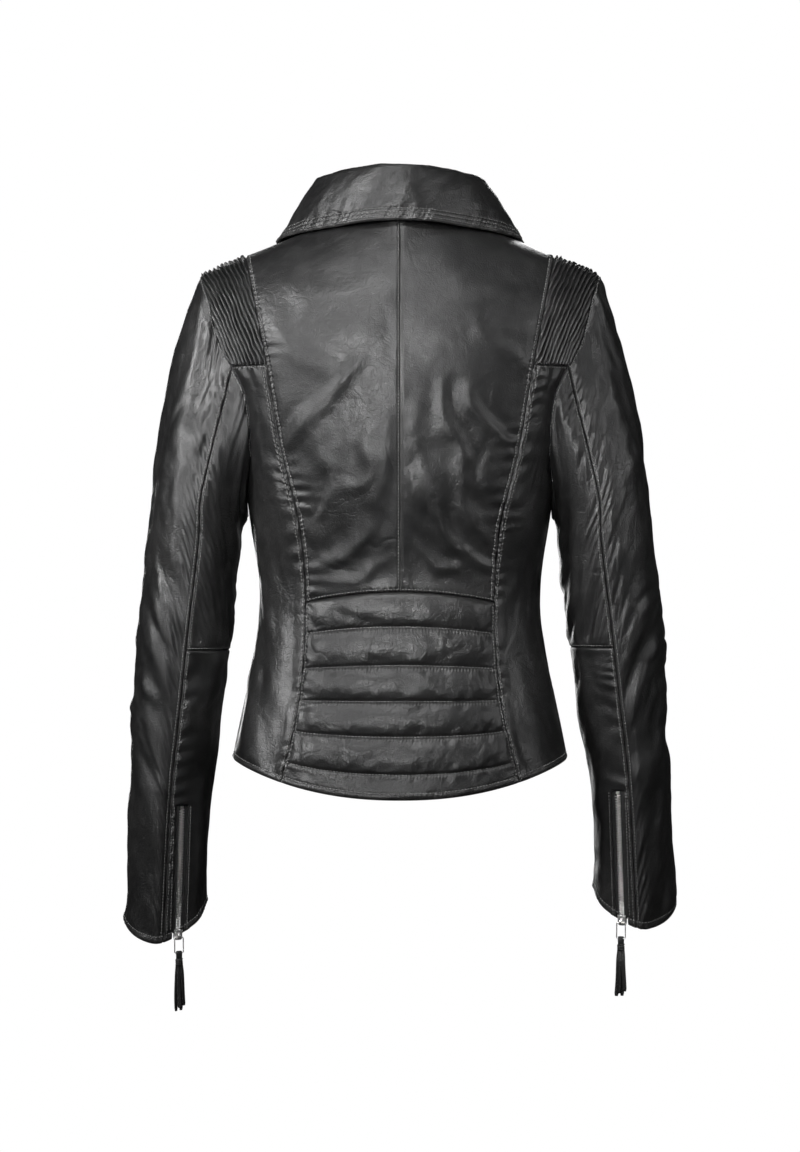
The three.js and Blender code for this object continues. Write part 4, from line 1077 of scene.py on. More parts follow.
# ---- thread
class Thread:
    """Stitches, gathered for each body of the frame and made as one piece for each."""

    LENGTH, WIDTH, HEIGHT, PITCH = 2.45, 0.95, 0.8, 3.1

    def __init__(self) -> None:
        """Starts with no stitches."""
        self.frames: dict[str, list[np.ndarray]] = {}

    def sew(self, body: str, path: Grid, normals: Grid, lift: float = 0.3) -> None:
        """Adds a row of stitches.

        Args:
            body: The body that the row rides on.
            path: Points along the row, in millimetres.
            normals: Outward directions there.
            lift: How far a stitch's middle stands above the path.
        """
        pitch = self.PITCH
        run = run_along(path)
        spots = np.arange(pitch / 2, run[-1] - pitch / 2, pitch)
        if len(spots) == 0:
            return

        def read(a: Grid, s: Grid) -> Grid:
            return np.stack([np.interp(s, run, a[:, k]) for k in range(3)], axis=1)

        along = unit(read(path, spots + pitch * 0.3) - read(path, spots - pitch * 0.3))
        out = unit(read(normals, spots))
        side = unit(np.cross(out, along))
        out = np.cross(along, side)
        frames = np.tile(np.eye(4), (len(spots), 1, 1))
        frames[:, :3, 0] = along * self.LENGTH
        frames[:, :3, 1] = side * self.WIDTH
        frames[:, :3, 2] = out * self.HEIGHT
        frames[:, :3, 3] = read(path, spots) + out * lift
        frames[:, :3] *= MM
        self.frames.setdefault(body, []).append(frames)

    def build(self, material: Material) -> dict[str, Object]:
        """Makes the stitches of each body as one piece."""
        stitch = bpy.data.meshes.new("stitch")
        with shaping(stitch) as bm:
            bmesh.ops.create_uvsphere(bm, u_segments=5, v_segments=4, radius=0.5)
            turn = Matrix.Rotation(math.pi / 2, 3, "Y")
            bmesh.ops.rotate(bm, verts=bm.verts[:], matrix=turn, cent=(0, 0, 0))
        made = {}
        for body, groups in self.frames.items():
            frames = np.concatenate(groups)
            mesh = joined(f"stitching_{body}", [(stitch, f) for f in frames])
            made[body] = new_object(f"stitching_{body}", mesh, material)
        return made


# ---- leather panels
@dataclass(frozen=True)
class Seam:
    """How one rim of a panel is sewn: rows of stitches, the roll at its edge and its puckers."""

    rim: Rim
    rows: tuple[float, ...] = ()
    roll: float = 1.2
    pucker: float = 0.3
    reach: float = 13.0
    seed: int = 1
    wave: float = 4.4
    waist: float = 0.0

    def width(self, run: Number) -> Number:
        """How wide the seam's band is along its rim, where it is closer below the waist."""
        if not self.waist:
            return np.ones_like(run)
        return mix(0.55, 1.0, smooth((run - self.waist + 10) / 60))


@dataclass(frozen=True)
class Fold:
    """A soft ridge in the leather between two places, as (x, z), or a hollow if its height is below 0."""

    start: tuple[float, float]
    end: tuple[float, float]
    width: float
    height: float

    def over(self, x: Grid, z: Grid) -> Grid:
        """The fold's height at places of the form."""
        a, b = np.array(self.start, float), np.array(self.end, float)
        run = b - a
        length = float(np.hypot(*run))
        along = ((x - a[0]) * run[0] + (z - a[1]) * run[1]) / length**2
        off = ((x - a[0]) * -run[1] + (z - a[1]) * run[0]) / length
        off = off + self.width * 0.5 * np.sin(along * 4.0)
        past = np.maximum(np.maximum(-along, along - 1), 0) * length
        fade = bell(past, self.width * 1.6)
        fade = fade * (0.35 + 0.65 * smooth(1.6 * np.minimum(along, 1 - along) + 0.4))
        ridge = bell(off, self.width) - 0.45 * bell(off - self.width * 1.9, self.width * 1.1)
        return self.height * ridge * fade


class Panel:
    """A piece of leather, cloth or wadding as a fine grid over its form."""

    def __init__(self, name: str, points: Grid, core: Optional[Grid] = None) -> None:
        """Takes the grid at rest.

        Args:
            name: The piece's name.
            points: Rows by columns by 3, in millimetres.
            core: Points within the form, to tell outside from inside; the body's middle line if left out.
        """
        core = points * [0, 0, 1] if core is None else core
        self.name = name
        self.rest = points
        normals = unit(np.cross(np.gradient(points, axis=1), np.gradient(points, axis=0)))
        self.flip = bool(np.median(np.sum(normals * (points - core), axis=2)) < 0)
        self.normals = -normals if self.flip else normals
        across = np.linalg.norm(np.diff(points, axis=1), axis=2)
        along = np.linalg.norm(np.diff(points, axis=0), axis=2)
        self.from_left = np.cumsum(np.pad(across, ((0, 0), (1, 0))), axis=1)
        self.from_first = np.cumsum(np.pad(along, ((1, 0), (0, 0))), axis=0)
        self.offset = np.zeros(points.shape[:2])
        self.wear_and_highlight = np.zeros(points.shape[:2])

    def distance(self, rim: Rim) -> Grid:
        """Each point's distance from a rim."""
        if rim is Rim.FIRST_COLUMN:
            return self.from_left
        if rim is Rim.LAST_COLUMN:
            return self.from_left[:, -1:] - self.from_left
        if rim is Rim.FIRST_ROW:
            return self.from_first
        return self.from_first[-1:] - self.from_first

    def along(self, rim: Rim) -> Grid:
        """Each point's place along a rim."""
        return self.from_first if rim in (Rim.FIRST_COLUMN, Rim.LAST_COLUMN) else self.from_left

    def sew(self, seam: Seam) -> None:
        """Rolls a rim over, dips the leather at its rows of stitches and puckers it between."""
        far, run = self.distance(seam.rim), self.along(seam.rim)
        noise = Noise(seam.seed)
        self.offset -= seam.roll * bell(far, 1.3)
        far = far / seam.width(run)
        if not seam.rows:
            return
        band = max(seam.rows)
        phase = run / seam.wave + 0.5 * noise(run / 17, 3.0) + 0.1 * noise(run / 6, far / 5)
        ladder = np.sin(TURN * phase) * (0.6 + 0.4 * noise(run / 12, 9.0))
        between = smooth(far / 1.5) * (1 - smooth((far - band) / 3.0))
        self.offset += seam.pucker * ladder * between
        slow = run / (seam.wave * 3.1) + 0.9 * noise(run / 43, 1.0)
        reach = smooth(far / 3) * np.exp(-(far / seam.reach) ** 1.5)
        longer = np.sin(TURN * slow + far / 9) * (0.35 + 0.65 * noise(run / 31, 5.0))
        self.offset += seam.pucker * 1.5 * longer * reach
        self.offset += 0.35 * bell(far - band / 2, band / 2.6)
        for row in seam.rows:
            hole = 0.75 + 0.25 * np.cos(TURN * run / Thread.PITCH)
            self.offset -= 0.62 * bell(far - row, 0.95) * hole
        # The band between the rim and the stitches is made paler in the leather's colour.
        self.wear_and_highlight += 0.9 * bell(far - band / 2, band / 2) * (0.5 + 0.5 * noise(run / 14, far / 4))

    def fold(self, folds: Iterable[Fold]) -> None:
        """Raises folds in the leather."""
        x, z = self.rest[..., 0], self.rest[..., 2]
        warp = Noise(201)
        x, z = x + 7 * warp(x / 31, z / 37), z + 7 * warp(z / 29, x / 33)
        for fold in folds:
            self.offset += fold.over(x, z)

    def edge_fade(self, reach: float = 14.0) -> Grid:
        """0 at the rims, 1 a reach inside them."""
        fade = np.ones_like(self.offset)
        for rim in Rim:
            fade = fade * smooth(self.distance(rim) / reach)
        return fade

    def crumple(
        self,
        seed: int,
        size: float,
        height: float,
        stretch: float = 1.0,
        reach: float = 14.0,
        where: Number = 1.0,
    ) -> None:
        """Raises soft irregular hollows and ridges.

        Args:
            seed: Which hollows.
            size: Their size across, in millimetres.
            height: Their height.
            stretch: How much longer they are along the columns.
            reach: How far inside the rims they fade out.
            where: How strong they are at each point.
        """
        noise, warp = Noise(seed), Noise(seed + 100)
        u, v = self.from_left / size, self.from_first / (size * stretch)
        bend = 0.6 * warp(u / 2, v / 2)
        body = noise.layered(u + bend, v + 0.6 * warp(v / 2, u / 2))
        self.offset += height * body * self.edge_fade(reach) * where

    def crease(self, seed: int, size: float, depth: float, stretch: float = 1.0) -> None:
        """Cuts thin meandering creases."""
        noise, warp = Noise(seed), Noise(seed + 50)
        u, v = self.from_left / size, self.from_first / (size * stretch)
        line = np.abs(noise(u + 0.9 * warp(u, v), v + 0.9 * warp(v, u + 4)))
        where = smooth(warp(u / 3, v / 3) * 1.6)
        self.offset -= depth * bell(line, 0.09) * where * self.edge_fade(8)

    @property
    def points(self) -> Grid:
        """The finished surface."""
        return self.rest + self.normals * self.offset[..., None]

    def beside(self, seam: Seam, far: float) -> tuple[Grid, Grid]:
        """The line on the surface that runs a distance from a seam, and the normals along it."""
        distance = self.distance(seam.rim) / seam.width(self.along(seam.rim))
        points, normals = self.points, self.normals
        if seam.rim in (Rim.FIRST_ROW, Rim.LAST_ROW):
            distance, points, normals = distance.T, points.swapaxes(0, 1), normals.swapaxes(0, 1)
        count = distance.shape[1]
        sign = 1 if distance[0, -1] > distance[0, 0] else -1
        order = np.arange(count)[::sign]
        at = np.array([np.interp(far, line[::sign], order) for line in distance])
        lines = np.arange(len(at))
        low = np.clip(np.floor(at).astype(int), 0, count - 2)
        f = (at - low)[:, None]
        return (
            mix(points[lines, low], points[lines, low + 1], f),
            unit(mix(normals[lines, low], normals[lines, low + 1], f)),
        )

    def stitch(self, thread: Thread, body: str, seam: Seam, trim: float = 1.0) -> None:
        """Lays a seam's rows of stitches, kept clear of the rims at their ends."""
        for row in seam.rows:
            path, normals = self.beside(seam, row)
            run = run_along(path)
            keep = (run > trim) & (run < run[-1] - trim)
            if keep.sum() > 3:
                thread.sew(body, path[keep], normals[keep])

    def sew_up(self, seams: Iterable[Seam], thread: Thread, body: str, trim: float = 1.0) -> None:
        """Sews and stitches seams one after another."""
        for seam in seams:
            self.sew(seam)
            self.stitch(thread, body, seam, trim)

    def build(self, material: Material, thickness: float, drop: Optional[Grid] = None) -> Object:
        """Makes the piece.

        Args:
            material: Its finish.
            thickness: How thick it is, inwards from its outer face.
            drop: Cells to leave out, rows by columns of the grid's cells.

        Returns:
            The piece.
        """
        mesh = grid_mesh(self.name, self.points, self.flip)
        # The per-vertex mark that pales the leather's colour: wear, and painted highlights on rib crests and
        # under quilting lines.
        layer = mesh.attributes.new("wear_and_highlight", "FLOAT", "POINT")
        layer.data.foreach_set("value", np.clip(self.wear_and_highlight, 0, 1).astype(np.float32).ravel())
        if drop is not None:
            with shaping(mesh) as bm:
                bm.faces.ensure_lookup_table()
                gone = [bm.faces[int(k)] for k in np.flatnonzero(drop.ravel())]
                bmesh.ops.delete(bm, geom=gone, context="FACES")
        return walled(new_object(self.name, mesh, material), thickness, -1.0)


def spaced(length: float, fine: float, coarse: float, rim: float = 14.0) -> Grid:
    """Shares from 0 to 1, closer together near both ends.

    Args:
        length: The real length that the shares run over.
        fine: Spacing at the ends.
        coarse: Spacing in the middle.
        rim: How far in from the ends the fine spacing goes.

    Returns:
        The shares.
    """
    s = np.linspace(0, length, 400)
    gap = mix(fine, coarse, smooth((np.minimum(s, length - s) - rim) / 8))
    count = np.cumsum(np.pad(np.diff(s) / gap[1:], (1, 0)))
    steps = max(2, int(math.ceil(count[-1])))
    return np.interp(np.linspace(0, count[-1], steps + 1), count, s) / length


def evened(
    spot: Callable[[Number], Grid], low: float, high: float, pitch: float, fine: Optional[float] = None
) -> Grid:
    """Parameters from low to high at even real spacing along a line, closer at its ends if fine is given."""
    dense = np.linspace(low, high, 500)
    run = run_along(spot(dense))
    shares = spaced(run[-1], fine or pitch, pitch)
    return np.interp(shares * run[-1], run, dense)


# ---- the frame's pieces
def assigned(piece: Object, slot: Optional[str], *nodes: str) -> Object:
    """A piece, with the frame nodes that it stands for hidden."""
    if nodes:
        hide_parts(*nodes)
    return piece


def ride(piece: Object, body: str, slot: Optional[str], *nodes: str) -> Object:
    """Puts a piece on a body in place of frame nodes, and reports it."""
    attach(piece, body)
    LOG.info("%s rides on %s", piece.name, body)
    return assigned(piece, slot, *nodes)


def bend(piece: Object, form: SleeveForm, slot: Optional[str], *nodes: str) -> Object:
    """Bakes a sleeve piece's transform into its mesh, in place of frame nodes, and reports it."""
    side = "left" if form.side < 0 else "right"
    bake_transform(piece)
    LOG.info("%s bends between the shell and sleeve_%s", piece.name, side)
    return assigned(piece, slot, *nodes)


@dataclass
class Torso:
    """The body of the jacket: back, sides, fronts, ribbed shoulders and the quilted lumbar panel."""

    form: BodyForm
    finishes: Finishes
    thread: Thread
    pitch: float = 1.35
    rib_pitch: float = 4.3
    rib_height: float = 4.4
    rib_lean: float = math.radians(10)
    quilt_lines: tuple[float, ...] = (0, 0.121, 0.301, 0.472, 0.644, 0.831, 1)
    quilt_crowns: tuple[float, ...] = (1.0, 5.0, 5.6, 5.6, 5.6, 5.2)
    folds: tuple[Fold, ...] = (
        Fold((-100, -222), (-44, -150), 6.9, 2.6),
        Fold((-47, -270), (-23, -222), 5.8, 1.6),
        Fold((-70, -293), (-58, -262), 4.1, 1.6),
        Fold((-74, -345), (-32, -312), 7.5, 2.7),
        Fold((-66, -358), (-20, -338), 6.9, 1.4),
        Fold((-96, -74), (-40, -86), 12.6, 1.9),
        Fold((-112, -112), (-58, -176), 10.3, 1.5),
        Fold((-88, -178), (-60, -262), 11.5, 1.4),
        Fold((36, -172), (54, -238), 6.9, 2.1),
        Fold((54, -238), (76, -316), 7.5, 2.5),
        Fold((68, -182), (97, -236), 6.9, 2.2),
        Fold((34, -288), (58, -332), 5.8, 1.9),
        Fold((18, -326), (51, -348), 6.3, 2.1),
        Fold((60, -324), (84, -352), 6.9, 2.0),
        Fold((62, -258), (84, -292), 10.3, -1.9),
        Fold((40, -60), (104, -92), 13.8, 1.5),
        Fold((70, -112), (112, -150), 9.2, 1.2),
        Fold((-24, -112), (12, -214), 17.2, 1.1),
        Fold((10, -190), (30, -290), 10.3, 1.1),
        Fold((-16, -240), (-36, -330), 10.3, 1.0),
    )

    def panel(
        self,
        name: str,
        face: Face,
        side: int,
        rows: tuple[float, float],
        ends: tuple[Line, Line],
        pitch: Optional[float] = None,
        fine: float = 0.85,
        coarse: float = 2.6,
    ) -> Panel:
        """A panel of the body between two rows and two lines."""
        spot = self.form.surface(face, side, ends)
        row = evened(lambda r: spot(r, 0.5), *rows, pitch or self.pitch)
        share = evened(lambda s: spot(sum(rows) / 2, s), 0, 1, coarse, fine)
        return Panel(name, spot(row[:, None], share[None, :]))

    def finish(self, panel: Panel, seams: Sequence[Seam], *nodes: str, stitched: Sequence[Seam] = ()) -> None:
        """Sews a panel, stitches it and makes it."""
        for seam in seams:
            panel.sew(seam)
        for seam in stitched or seams:
            panel.stitch(self.thread, "shell", seam)
        ride(panel.build(self.finishes.leather, CUT.leather), "shell", "leather", *nodes)

    def build_back(self, name: str, side: int) -> None:
        """One half of the back, from the lumbar seam to the neck and shoulder."""
        ends = (Line.CENTRE, Line.PRINCESS)
        panel = self.panel(f"back_panel_{name}", Face.BACK, side, (WAIST_ROW, TOP_ROW), ends)
        seed = 11 + side
        low = smooth((-panel.rest[..., 2] - 130) / 150)
        panel.crumple(seed, 64, 2.2, 1.3, where=0.6 + 0.4 * low)
        panel.crumple(seed + 2, 26, 0.75, 1.7, where=0.25 + 0.75 * low)
        panel.crumple(seed + 4, 9, 0.12, 1.5)
        panel.fold(self.folds)
        panel.crease(seed + 6, 26, 0.45, 1.6)
        panel.crease(seed + 7, 13, 0.25, 1.2)
        seams = [
            Seam(Rim.FIRST_COLUMN, (1.5,), 0.8, 0.1, 9, seed=21 + side),
            Seam(Rim.LAST_COLUMN, (PRINCESS_ROW,), 1.5, 0.75, 16, seed=23 + side, wave=5.0),
            Seam(Rim.FIRST_ROW, (2.2,), 1.4, 0.7, 12, seed=25 + side, wave=5.5),
            Seam(Rim.LAST_ROW, (), 0.8),
        ]
        self.finish(panel, seams, f"back_{name}", stitched=seams[1:] if side > 0 else seams)

    def build_side_back(self, name: str, side: int) -> None:
        """The side of the back, from the hem to the ribbed panel."""
        ends = (Line.PRINCESS, Line.SIDE)
        panel = self.panel(f"side_back_panel_{name}", Face.BACK, side, (0, RIB_ROW), ends)
        seed = 31 + side
        panel.crumple(seed, 44, 2.2, 1.8)
        panel.crumple(seed + 2, 18, 0.5, 2.6)
        panel.crumple(seed + 4, 8, 0.1, 1.6)
        panel.crease(seed + 6, 24, 0.4, 2.0)
        seams = [
            Seam(Rim.FIRST_COLUMN, (PRINCESS_ROW,), 1.5, 0.75, 14, 41 + side, 5.0, PRINCESS_CLOSE),
            Seam(Rim.LAST_COLUMN, (), 1.2),
            Seam(Rim.FIRST_ROW, (HEM_ROW,), 1.0, 0.3, 7, seed=43 + side),
            Seam(Rim.LAST_ROW, (2.0,), 1.5, 1.2, 20, seed=45 + side, wave=6.5),
        ]
        self.finish(panel, seams, f"side_back_{name}")

    def build_fronts(self, name: str, side: int) -> None:
        """The side front and the front, with the pocket's slot cut in it."""
        ends = (Line.PRINCESS, Line.SIDE)
        panel = self.panel(f"side_front_panel_{name}", Face.FRONT, side, (0, RIB_ROW), ends, 2.2, 1.4, 3.8)
        panel.crumple(51 + side, 46, 1.5, 1.5)
        panel.crumple(53 + side, 18, 0.4, 2.0)
        seams = [
            Seam(Rim.FIRST_COLUMN, (PRINCESS_ROW,), 1.3, 0.3, 12, seed=55 + side, waist=PRINCESS_CLOSE),
            Seam(Rim.LAST_COLUMN, (), 1.2),
            Seam(Rim.FIRST_ROW, (HEM_ROW,), 0.9, 0.12, 7, seed=57 + side),
            Seam(Rim.LAST_ROW, (2.0,), 1.3, 0.4, 14, seed=59 + side),
        ]
        self.finish(panel, seams, f"side_front_{name}")
        ends = (Line.OPENING, Line.PRINCESS)
        panel = self.panel(f"front_panel_{name}", Face.FRONT, side, (0, TOP_ROW), ends, 2.2, 1.4, 3.6)
        pocket = self.form.pocket_zips[side]
        flat = pocket.local(panel.rest)
        clear = smooth((np.maximum(np.abs(flat[..., 0]) - 13, np.abs(flat[..., 1] - 50) - 66)) / 18)
        edge = smooth((self.form.main_zip.local(panel.rest)[..., 0] * -side - 18) / 20)
        clear = np.where(panel.rest[..., 2] < self.form.break_z, clear * edge, clear)
        panel.crumple(61 + side, 60, 1.6, where=clear)
        panel.crumple(63 + side, 20, 0.35, 1.5, where=clear)
        seams = [
            Seam(Rim.FIRST_COLUMN, (3.5,), 0.7, 0.08, 6, seed=65 + side),
            Seam(Rim.LAST_COLUMN, (PRINCESS_ROW,), 1.3, 0.3, 12, seed=67 + side, waist=PRINCESS_CLOSE),
            Seam(Rim.FIRST_ROW, (HEM_ROW,), 0.9, 0.12, 7, seed=69 + side),
            Seam(Rim.LAST_ROW, (), 0.8),
        ]
        panel.sew_up(seams, self.thread, "shell")
        piece = panel.build(self.finishes.leather, CUT.leather)
        self.cut_pocket(piece.data, pocket)
        ride(piece, "shell", "leather", f"front_{name}")
        self.sew_pocket(pocket)

    def cut_pocket(self, mesh: Mesh, zip_frame: ZipFrame) -> None:
        """Cuts a pocket zip's slot in a front."""
        low, high = (-CUT.zip_slot_half, -2.0), (CUT.zip_slot_half, CUT.pocket_zip_length + 7)

        def inside(f: bmesh.types.BMFace, grow: float) -> bool:
            x, y, z = zip_frame.local(np.array(f.calc_center_median()) / MM)
            return low[0] - grow < x < high[0] + grow and low[1] - grow < y < high[1] + grow and abs(z) < 14

        with shaping(mesh) as bm:
            for axis, place in ((0, low[0]), (0, high[0]), (1, low[1]), (1, high[1])):
                near = [f for f in bm.faces if inside(f, 6)]
                edges, corners = {e for f in near for e in f.edges}, {v for f in near for v in f.verts}
                geom = [*near, *edges, *corners]
                spot = [0.0, 0.0, 0.0]
                spot[axis] = place
                through_at, way = Vector(zip_frame.place(spot) * MM), Vector(zip_frame.axes[:, axis])
                bmesh.ops.bisect_plane(bm, geom=geom, dist=1e-6, plane_co=through_at, plane_no=way)
            bmesh.ops.delete(bm, geom=[f for f in bm.faces if inside(f, 0)], context="FACES")
        mesh.shade_smooth()

    def sew_pocket(self, zip_frame: ZipFrame) -> None:
        """Stitches round a pocket zip's slot."""
        half, low, high = CUT.zip_slot_half + 2.2, -4.2, CUT.pocket_zip_length + 9.2
        corners = [(-half, low), (half, low), (half, high), (-half, high), (-half, low)]
        for (x0, y0), (x1, y1) in zip(corners, corners[1:]):
            f = np.linspace(0, 1, 60)
            path = zip_frame.place(stack(mix(x0, x1, f), mix(y0, y1, f), 0.1))
            self.thread.sew("shell", path, np.broadcast_to(zip_frame.axes[:, 2], path.shape), -0.15)

    def build_shoulder(self, name: str, side: int) -> None:
        """The ribbed panel, over the shoulder from back to front."""
        ends = (Line.PRINCESS, Line.SIDE)
        back, front = (self.form.surface(face, side, ends) for face in (Face.BACK, Face.FRONT))
        rows = evened(lambda r: back(r, 0.5), RIB_ROW, TOP_ROW, 0.85)
        front_rows = evened(lambda r: front(r, 0.5), RIB_ROW, TOP_ROW, 1.2)[::-1][1:]
        share = evened(lambda s: back(14.0, s), 0, 1, 0.56)
        points = np.concatenate([back(rows[:, None], share), front(front_rows[:, None], share)])
        panel = Panel(f"shoulder_rib_panel_{name}", points, points * [0, 0, 1] - [0, 0, 60])
        down = panel.from_first[len(rows) - 1] - panel.from_first
        across = panel.from_left
        noise = Noise(71 + side)
        sway = 1.1 * noise(down / 24, across / 30) + 0.55 * noise(down / 9, across / 11)
        outer = panel.distance(Rim.LAST_COLUMN)
        bow = 5.0 * smooth((down - 55) / 50) * smooth(1 - outer / 34)
        q = across * math.cos(self.rib_lean) + (down + bow) * math.sin(self.rib_lean) + sway
        q = q / self.rib_pitch
        rib = np.abs(np.cos(math.pi * q)) ** 1.5
        strong = 0.85 + 0.25 * noise(down / 15, across / 6)
        fade = smooth(panel.distance(Rim.FIRST_COLUMN) / 1.8) * smooth(outer / 1.8)
        fade = fade * smooth(panel.distance(Rim.FIRST_ROW) / 2.2) * smooth(panel.distance(Rim.LAST_ROW) / 2.2)
        panel.offset += (self.rib_height * (rib * strong - 0.35)) * fade
        panel.crumple(73 + side, 11, 0.6, 1.5, 4)
        # Rib crests are paled in the leather's colour: partly wear, partly a painted highlight.
        panel.wear_and_highlight += 0.9 * rib**6 * (0.6 + 0.6 * noise(down / 6, across / 5))
        self.finish(panel, [Seam(rim, (), 1.0) for rim in Rim], f"shoulder_rib_{name}")

    def build_lumbar(self) -> None:
        """The padded panel across the small of the back, and the wadding in it."""
        ends = (Line.CENTRE, Line.PRINCESS)
        spots = [self.form.surface(Face.BACK, side, ends) for side in (-1, 1)]
        row = evened(lambda r: spots[0](r, 0.5), 0, WAIST_ROW, 1.05)
        share = evened(lambda s: spots[0](2.0, s), 0, 1, 0.86)

        def both(rows: Grid, shares: Grid) -> Grid:
            left, right = (spot(rows[:, None], shares[None, :]) for spot in spots)
            return np.concatenate([left[:, ::-1], right[:, 1:]], axis=1)

        panel = Panel("lumbar_panel_quilted", both(row, share))
        f = np.broadcast_to(row[:, None] / WAIST_ROW, panel.offset.shape)
        run = panel.from_left
        side_fade = np.minimum(panel.distance(Rim.FIRST_COLUMN), panel.distance(Rim.LAST_COLUMN))
        noise = Noise(83)
        lines = np.array(self.quilt_lines)
        for k, crown in enumerate(self.quilt_crowns):
            g = np.clip((f - lines[k]) / (lines[k + 1] - lines[k]), 0, 1)
            inside = (f >= lines[k]) & (f < lines[k + 1])
            full = np.sin(math.pi * g) ** 0.62
            sag = 1 + 0.13 * noise(run / 42, 5.0 * k) + 0.1 * (0.5 - g)
            pull = smooth(side_fade / 26) * 0.8 + 0.2
            pinch = 0.5 * np.sin(TURN * (run + 9 * g) / 12.5 + 6 * noise(run / 30, 2.0 * k))
            pinch = pinch * np.exp(-side_fade / 16)
            panel.offset += np.where(inside, crown * full * (sag * pull) + pinch * full, 0)
        height = panel.from_first
        for k, line in enumerate(lines[1:-1]):
            at = np.interp(line * WAIST_ROW, row, np.arange(len(row)))
            low = int(at)
            level = mix(height[low], height[low + 1], at - low)
            off = height - level[None, :]
            tick = np.sin(TURN * run / Thread.PITCH) * 0.5 + 0.5
            slow = noise(run / 7.5, 11.0 * k + 3)
            panel.offset -= 0.55 * bell(off, 1.1)
            panel.offset += 0.62 * tick * bell(np.abs(off) - 2.6, 1.9) * np.where(off < 0, 1.3, 0.6)
            panel.offset += 0.9 * slow * bell(np.abs(off) - 5, 4.5)
            # Painted highlight: the leather is paled in a line just under each quilting seam, in dashes with
            # the stitches.
            panel.wear_and_highlight += 0.8 * bell(off + 2.2, 1.8) * tick
            path = mix(panel.points[low], panel.points[low + 1], at - low)
            normals = mix(panel.normals[low], panel.normals[low + 1], at - low)
            self.thread.sew("shell", path[2:-2], normals[2:-2])
        panel.crumple(85, 38, 0.9, 0.7, 6)
        panel.crumple(87, 12, 0.22, 1.2, 5)
        panel.crease(88, 20, 0.35, 0.7)
        seams = [
            Seam(Rim.FIRST_COLUMN, (2.3,), 1.5, 0.5, 9, seed=91),
            Seam(Rim.LAST_COLUMN, (2.3,), 1.5, 0.5, 9, seed=92),
            Seam(Rim.FIRST_ROW, (HEM_ROW,), 1.0, 0.3, 6, seed=93),
            Seam(Rim.LAST_ROW, (), 1.2),
        ]
        panel.sew_up(seams, self.thread, "shell")
        piece = ride(panel.build(self.finishes.leather, CUT.leather), "shell", "leather", "lumbar_panel")
        pad = Panel("lumbar_wadding_sheet", both(np.linspace(0.7, 3.9, 60), np.linspace(0, 0.93, 30)))
        pad.offset -= CUT.leather + 0.4
        pad.crumple(89, 9, 0.15)
        ride(pad.build(self.finishes.felt, CUT.wadding), "shell", "wadding", "lumbar_wadding")

    def inner(
        self,
        name: str,
        parts: Sequence[tuple[Face, int, tuple[Line, Line], bool]],
        rows: Grid,
        depth: Grid,
        columns: int,
    ) -> Panel:
        """A lining or facing inside the leather, over several stretches of the body side by side."""
        share = np.linspace(0, 1, columns)
        grids = []
        for face, side, ends, back in parts:
            grid = self.form.surface(face, side, ends)(rows[:, None], share[None, :])
            grids.append((grid[:, ::-1] if back else grid)[:, 1 if grids else 0:])
        panel = Panel(name, np.concatenate(grids, axis=1))
        panel.offset -= depth[:, None]
        panel.crumple(97, 40, 1.2, reach=16)
        return panel

    def build_inside(self) -> None:
        """The hem's facing, the linings and the hanger loop."""
        front, back = (Line.FACING, Line.SIDE), (Line.CENTRE, Line.SIDE)
        rows = np.linspace(0.05, 0.45, 6)
        around = [
            (Face.FRONT, -1, front, False),
            (Face.BACK, -1, back, True),
            (Face.BACK, 1, back, False),
            (Face.FRONT, 1, front, True),
        ]
        depth = np.full(len(rows), CUT.leather + CUT.facing_gap)
        leather, satin = self.finishes.leather, self.finishes.satin
        band = self.inner("hem_facing_band", around, rows, depth, 40)
        ride(band.build(leather, CUT.facing), "shell", "leather", "hem_facing")
        rows = np.concatenate([[0.22, 0.8], np.linspace(1.2, TOP_ROW, 70)])
        tucked = CUT.leather + CUT.facing + CUT.facing_gap + 0.6
        for name, parts, ease in (
            ("back", around[1:3], CUT.lining_ease),
            ("front_left", [(Face.FRONT, -1, front, False)], CUT.front_ease),
            ("front_right", [(Face.FRONT, 1, front, False)], CUT.front_ease),
        ):
            depth = mix(tucked, ease, smooth((rows - 0.22) / 0.8))
            depth = mix(depth, CUT.leather + 1.4, smooth(rows - TOP_ROW + 1))
            cloth = self.inner(f"lining_{name}_cloth", parts, rows, depth, 44)
            ride(cloth.build(satin, CUT.lining), "shell", "lining", f"lining_{name}")
        for name, side in SIDES.items():
            self.tape_armhole(name, side)
        low, high = (np.array(corner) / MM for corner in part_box("hanger_loop"))
        half = (high[0] - low[0]) / 2 - 1.4
        angle = np.linspace(-math.pi / 2, math.pi / 2, 15)
        drop = stack(half * np.sin(angle), low[1] + 8.5, low[2] + 3 + 9 * (1 - np.cos(angle)))
        ends = np.array([[half, low[1] + 1.5, high[2] - 0.8]])
        path = np.concatenate([ends * [-1, 1, 1], drop, ends])
        loop = grid_mesh("hanger_loop_tape", rod(path, 0.7, 1.5, 10, np.array([0, 1.0, 0.2])), weld=True)
        ride(new_object("hanger_loop_tape", loop, satin), "shell", "lining", "hanger_loop")

    def tape_armhole(self, name: str, side: int) -> None:
        """The tape over the inside of the seam between the body and a sleeve."""
        ring = self.form.armhole(np.linspace(0, TURN, 181)) * [side, 1, 1]
        along = np.array([side * 0.979, 0.0, -0.202])
        across = np.linspace(-6, 2.4, 7)[:, None]
        points = ring[None] + across[..., None] * along
        panel = Panel(f"armhole_tape_{name}", points, np.broadcast_to(ring.mean(axis=0), points.shape))
        panel.offset -= CUT.leather + 0.4 + np.where(across > 0, 1.5, 0.2) * np.abs(across)
        ride(panel.build(self.finishes.satin, 0.5), "shell", "lining")

    def build(self) -> None:
        """Makes every piece of the body."""
        for name, side in SIDES.items():
            self.build_back(name, side)
            self.build_side_back(name, side)
            self.build_fronts(name, side)
            self.build_shoulder(name, side)
        self.build_lumbar()
        self.build_inside()


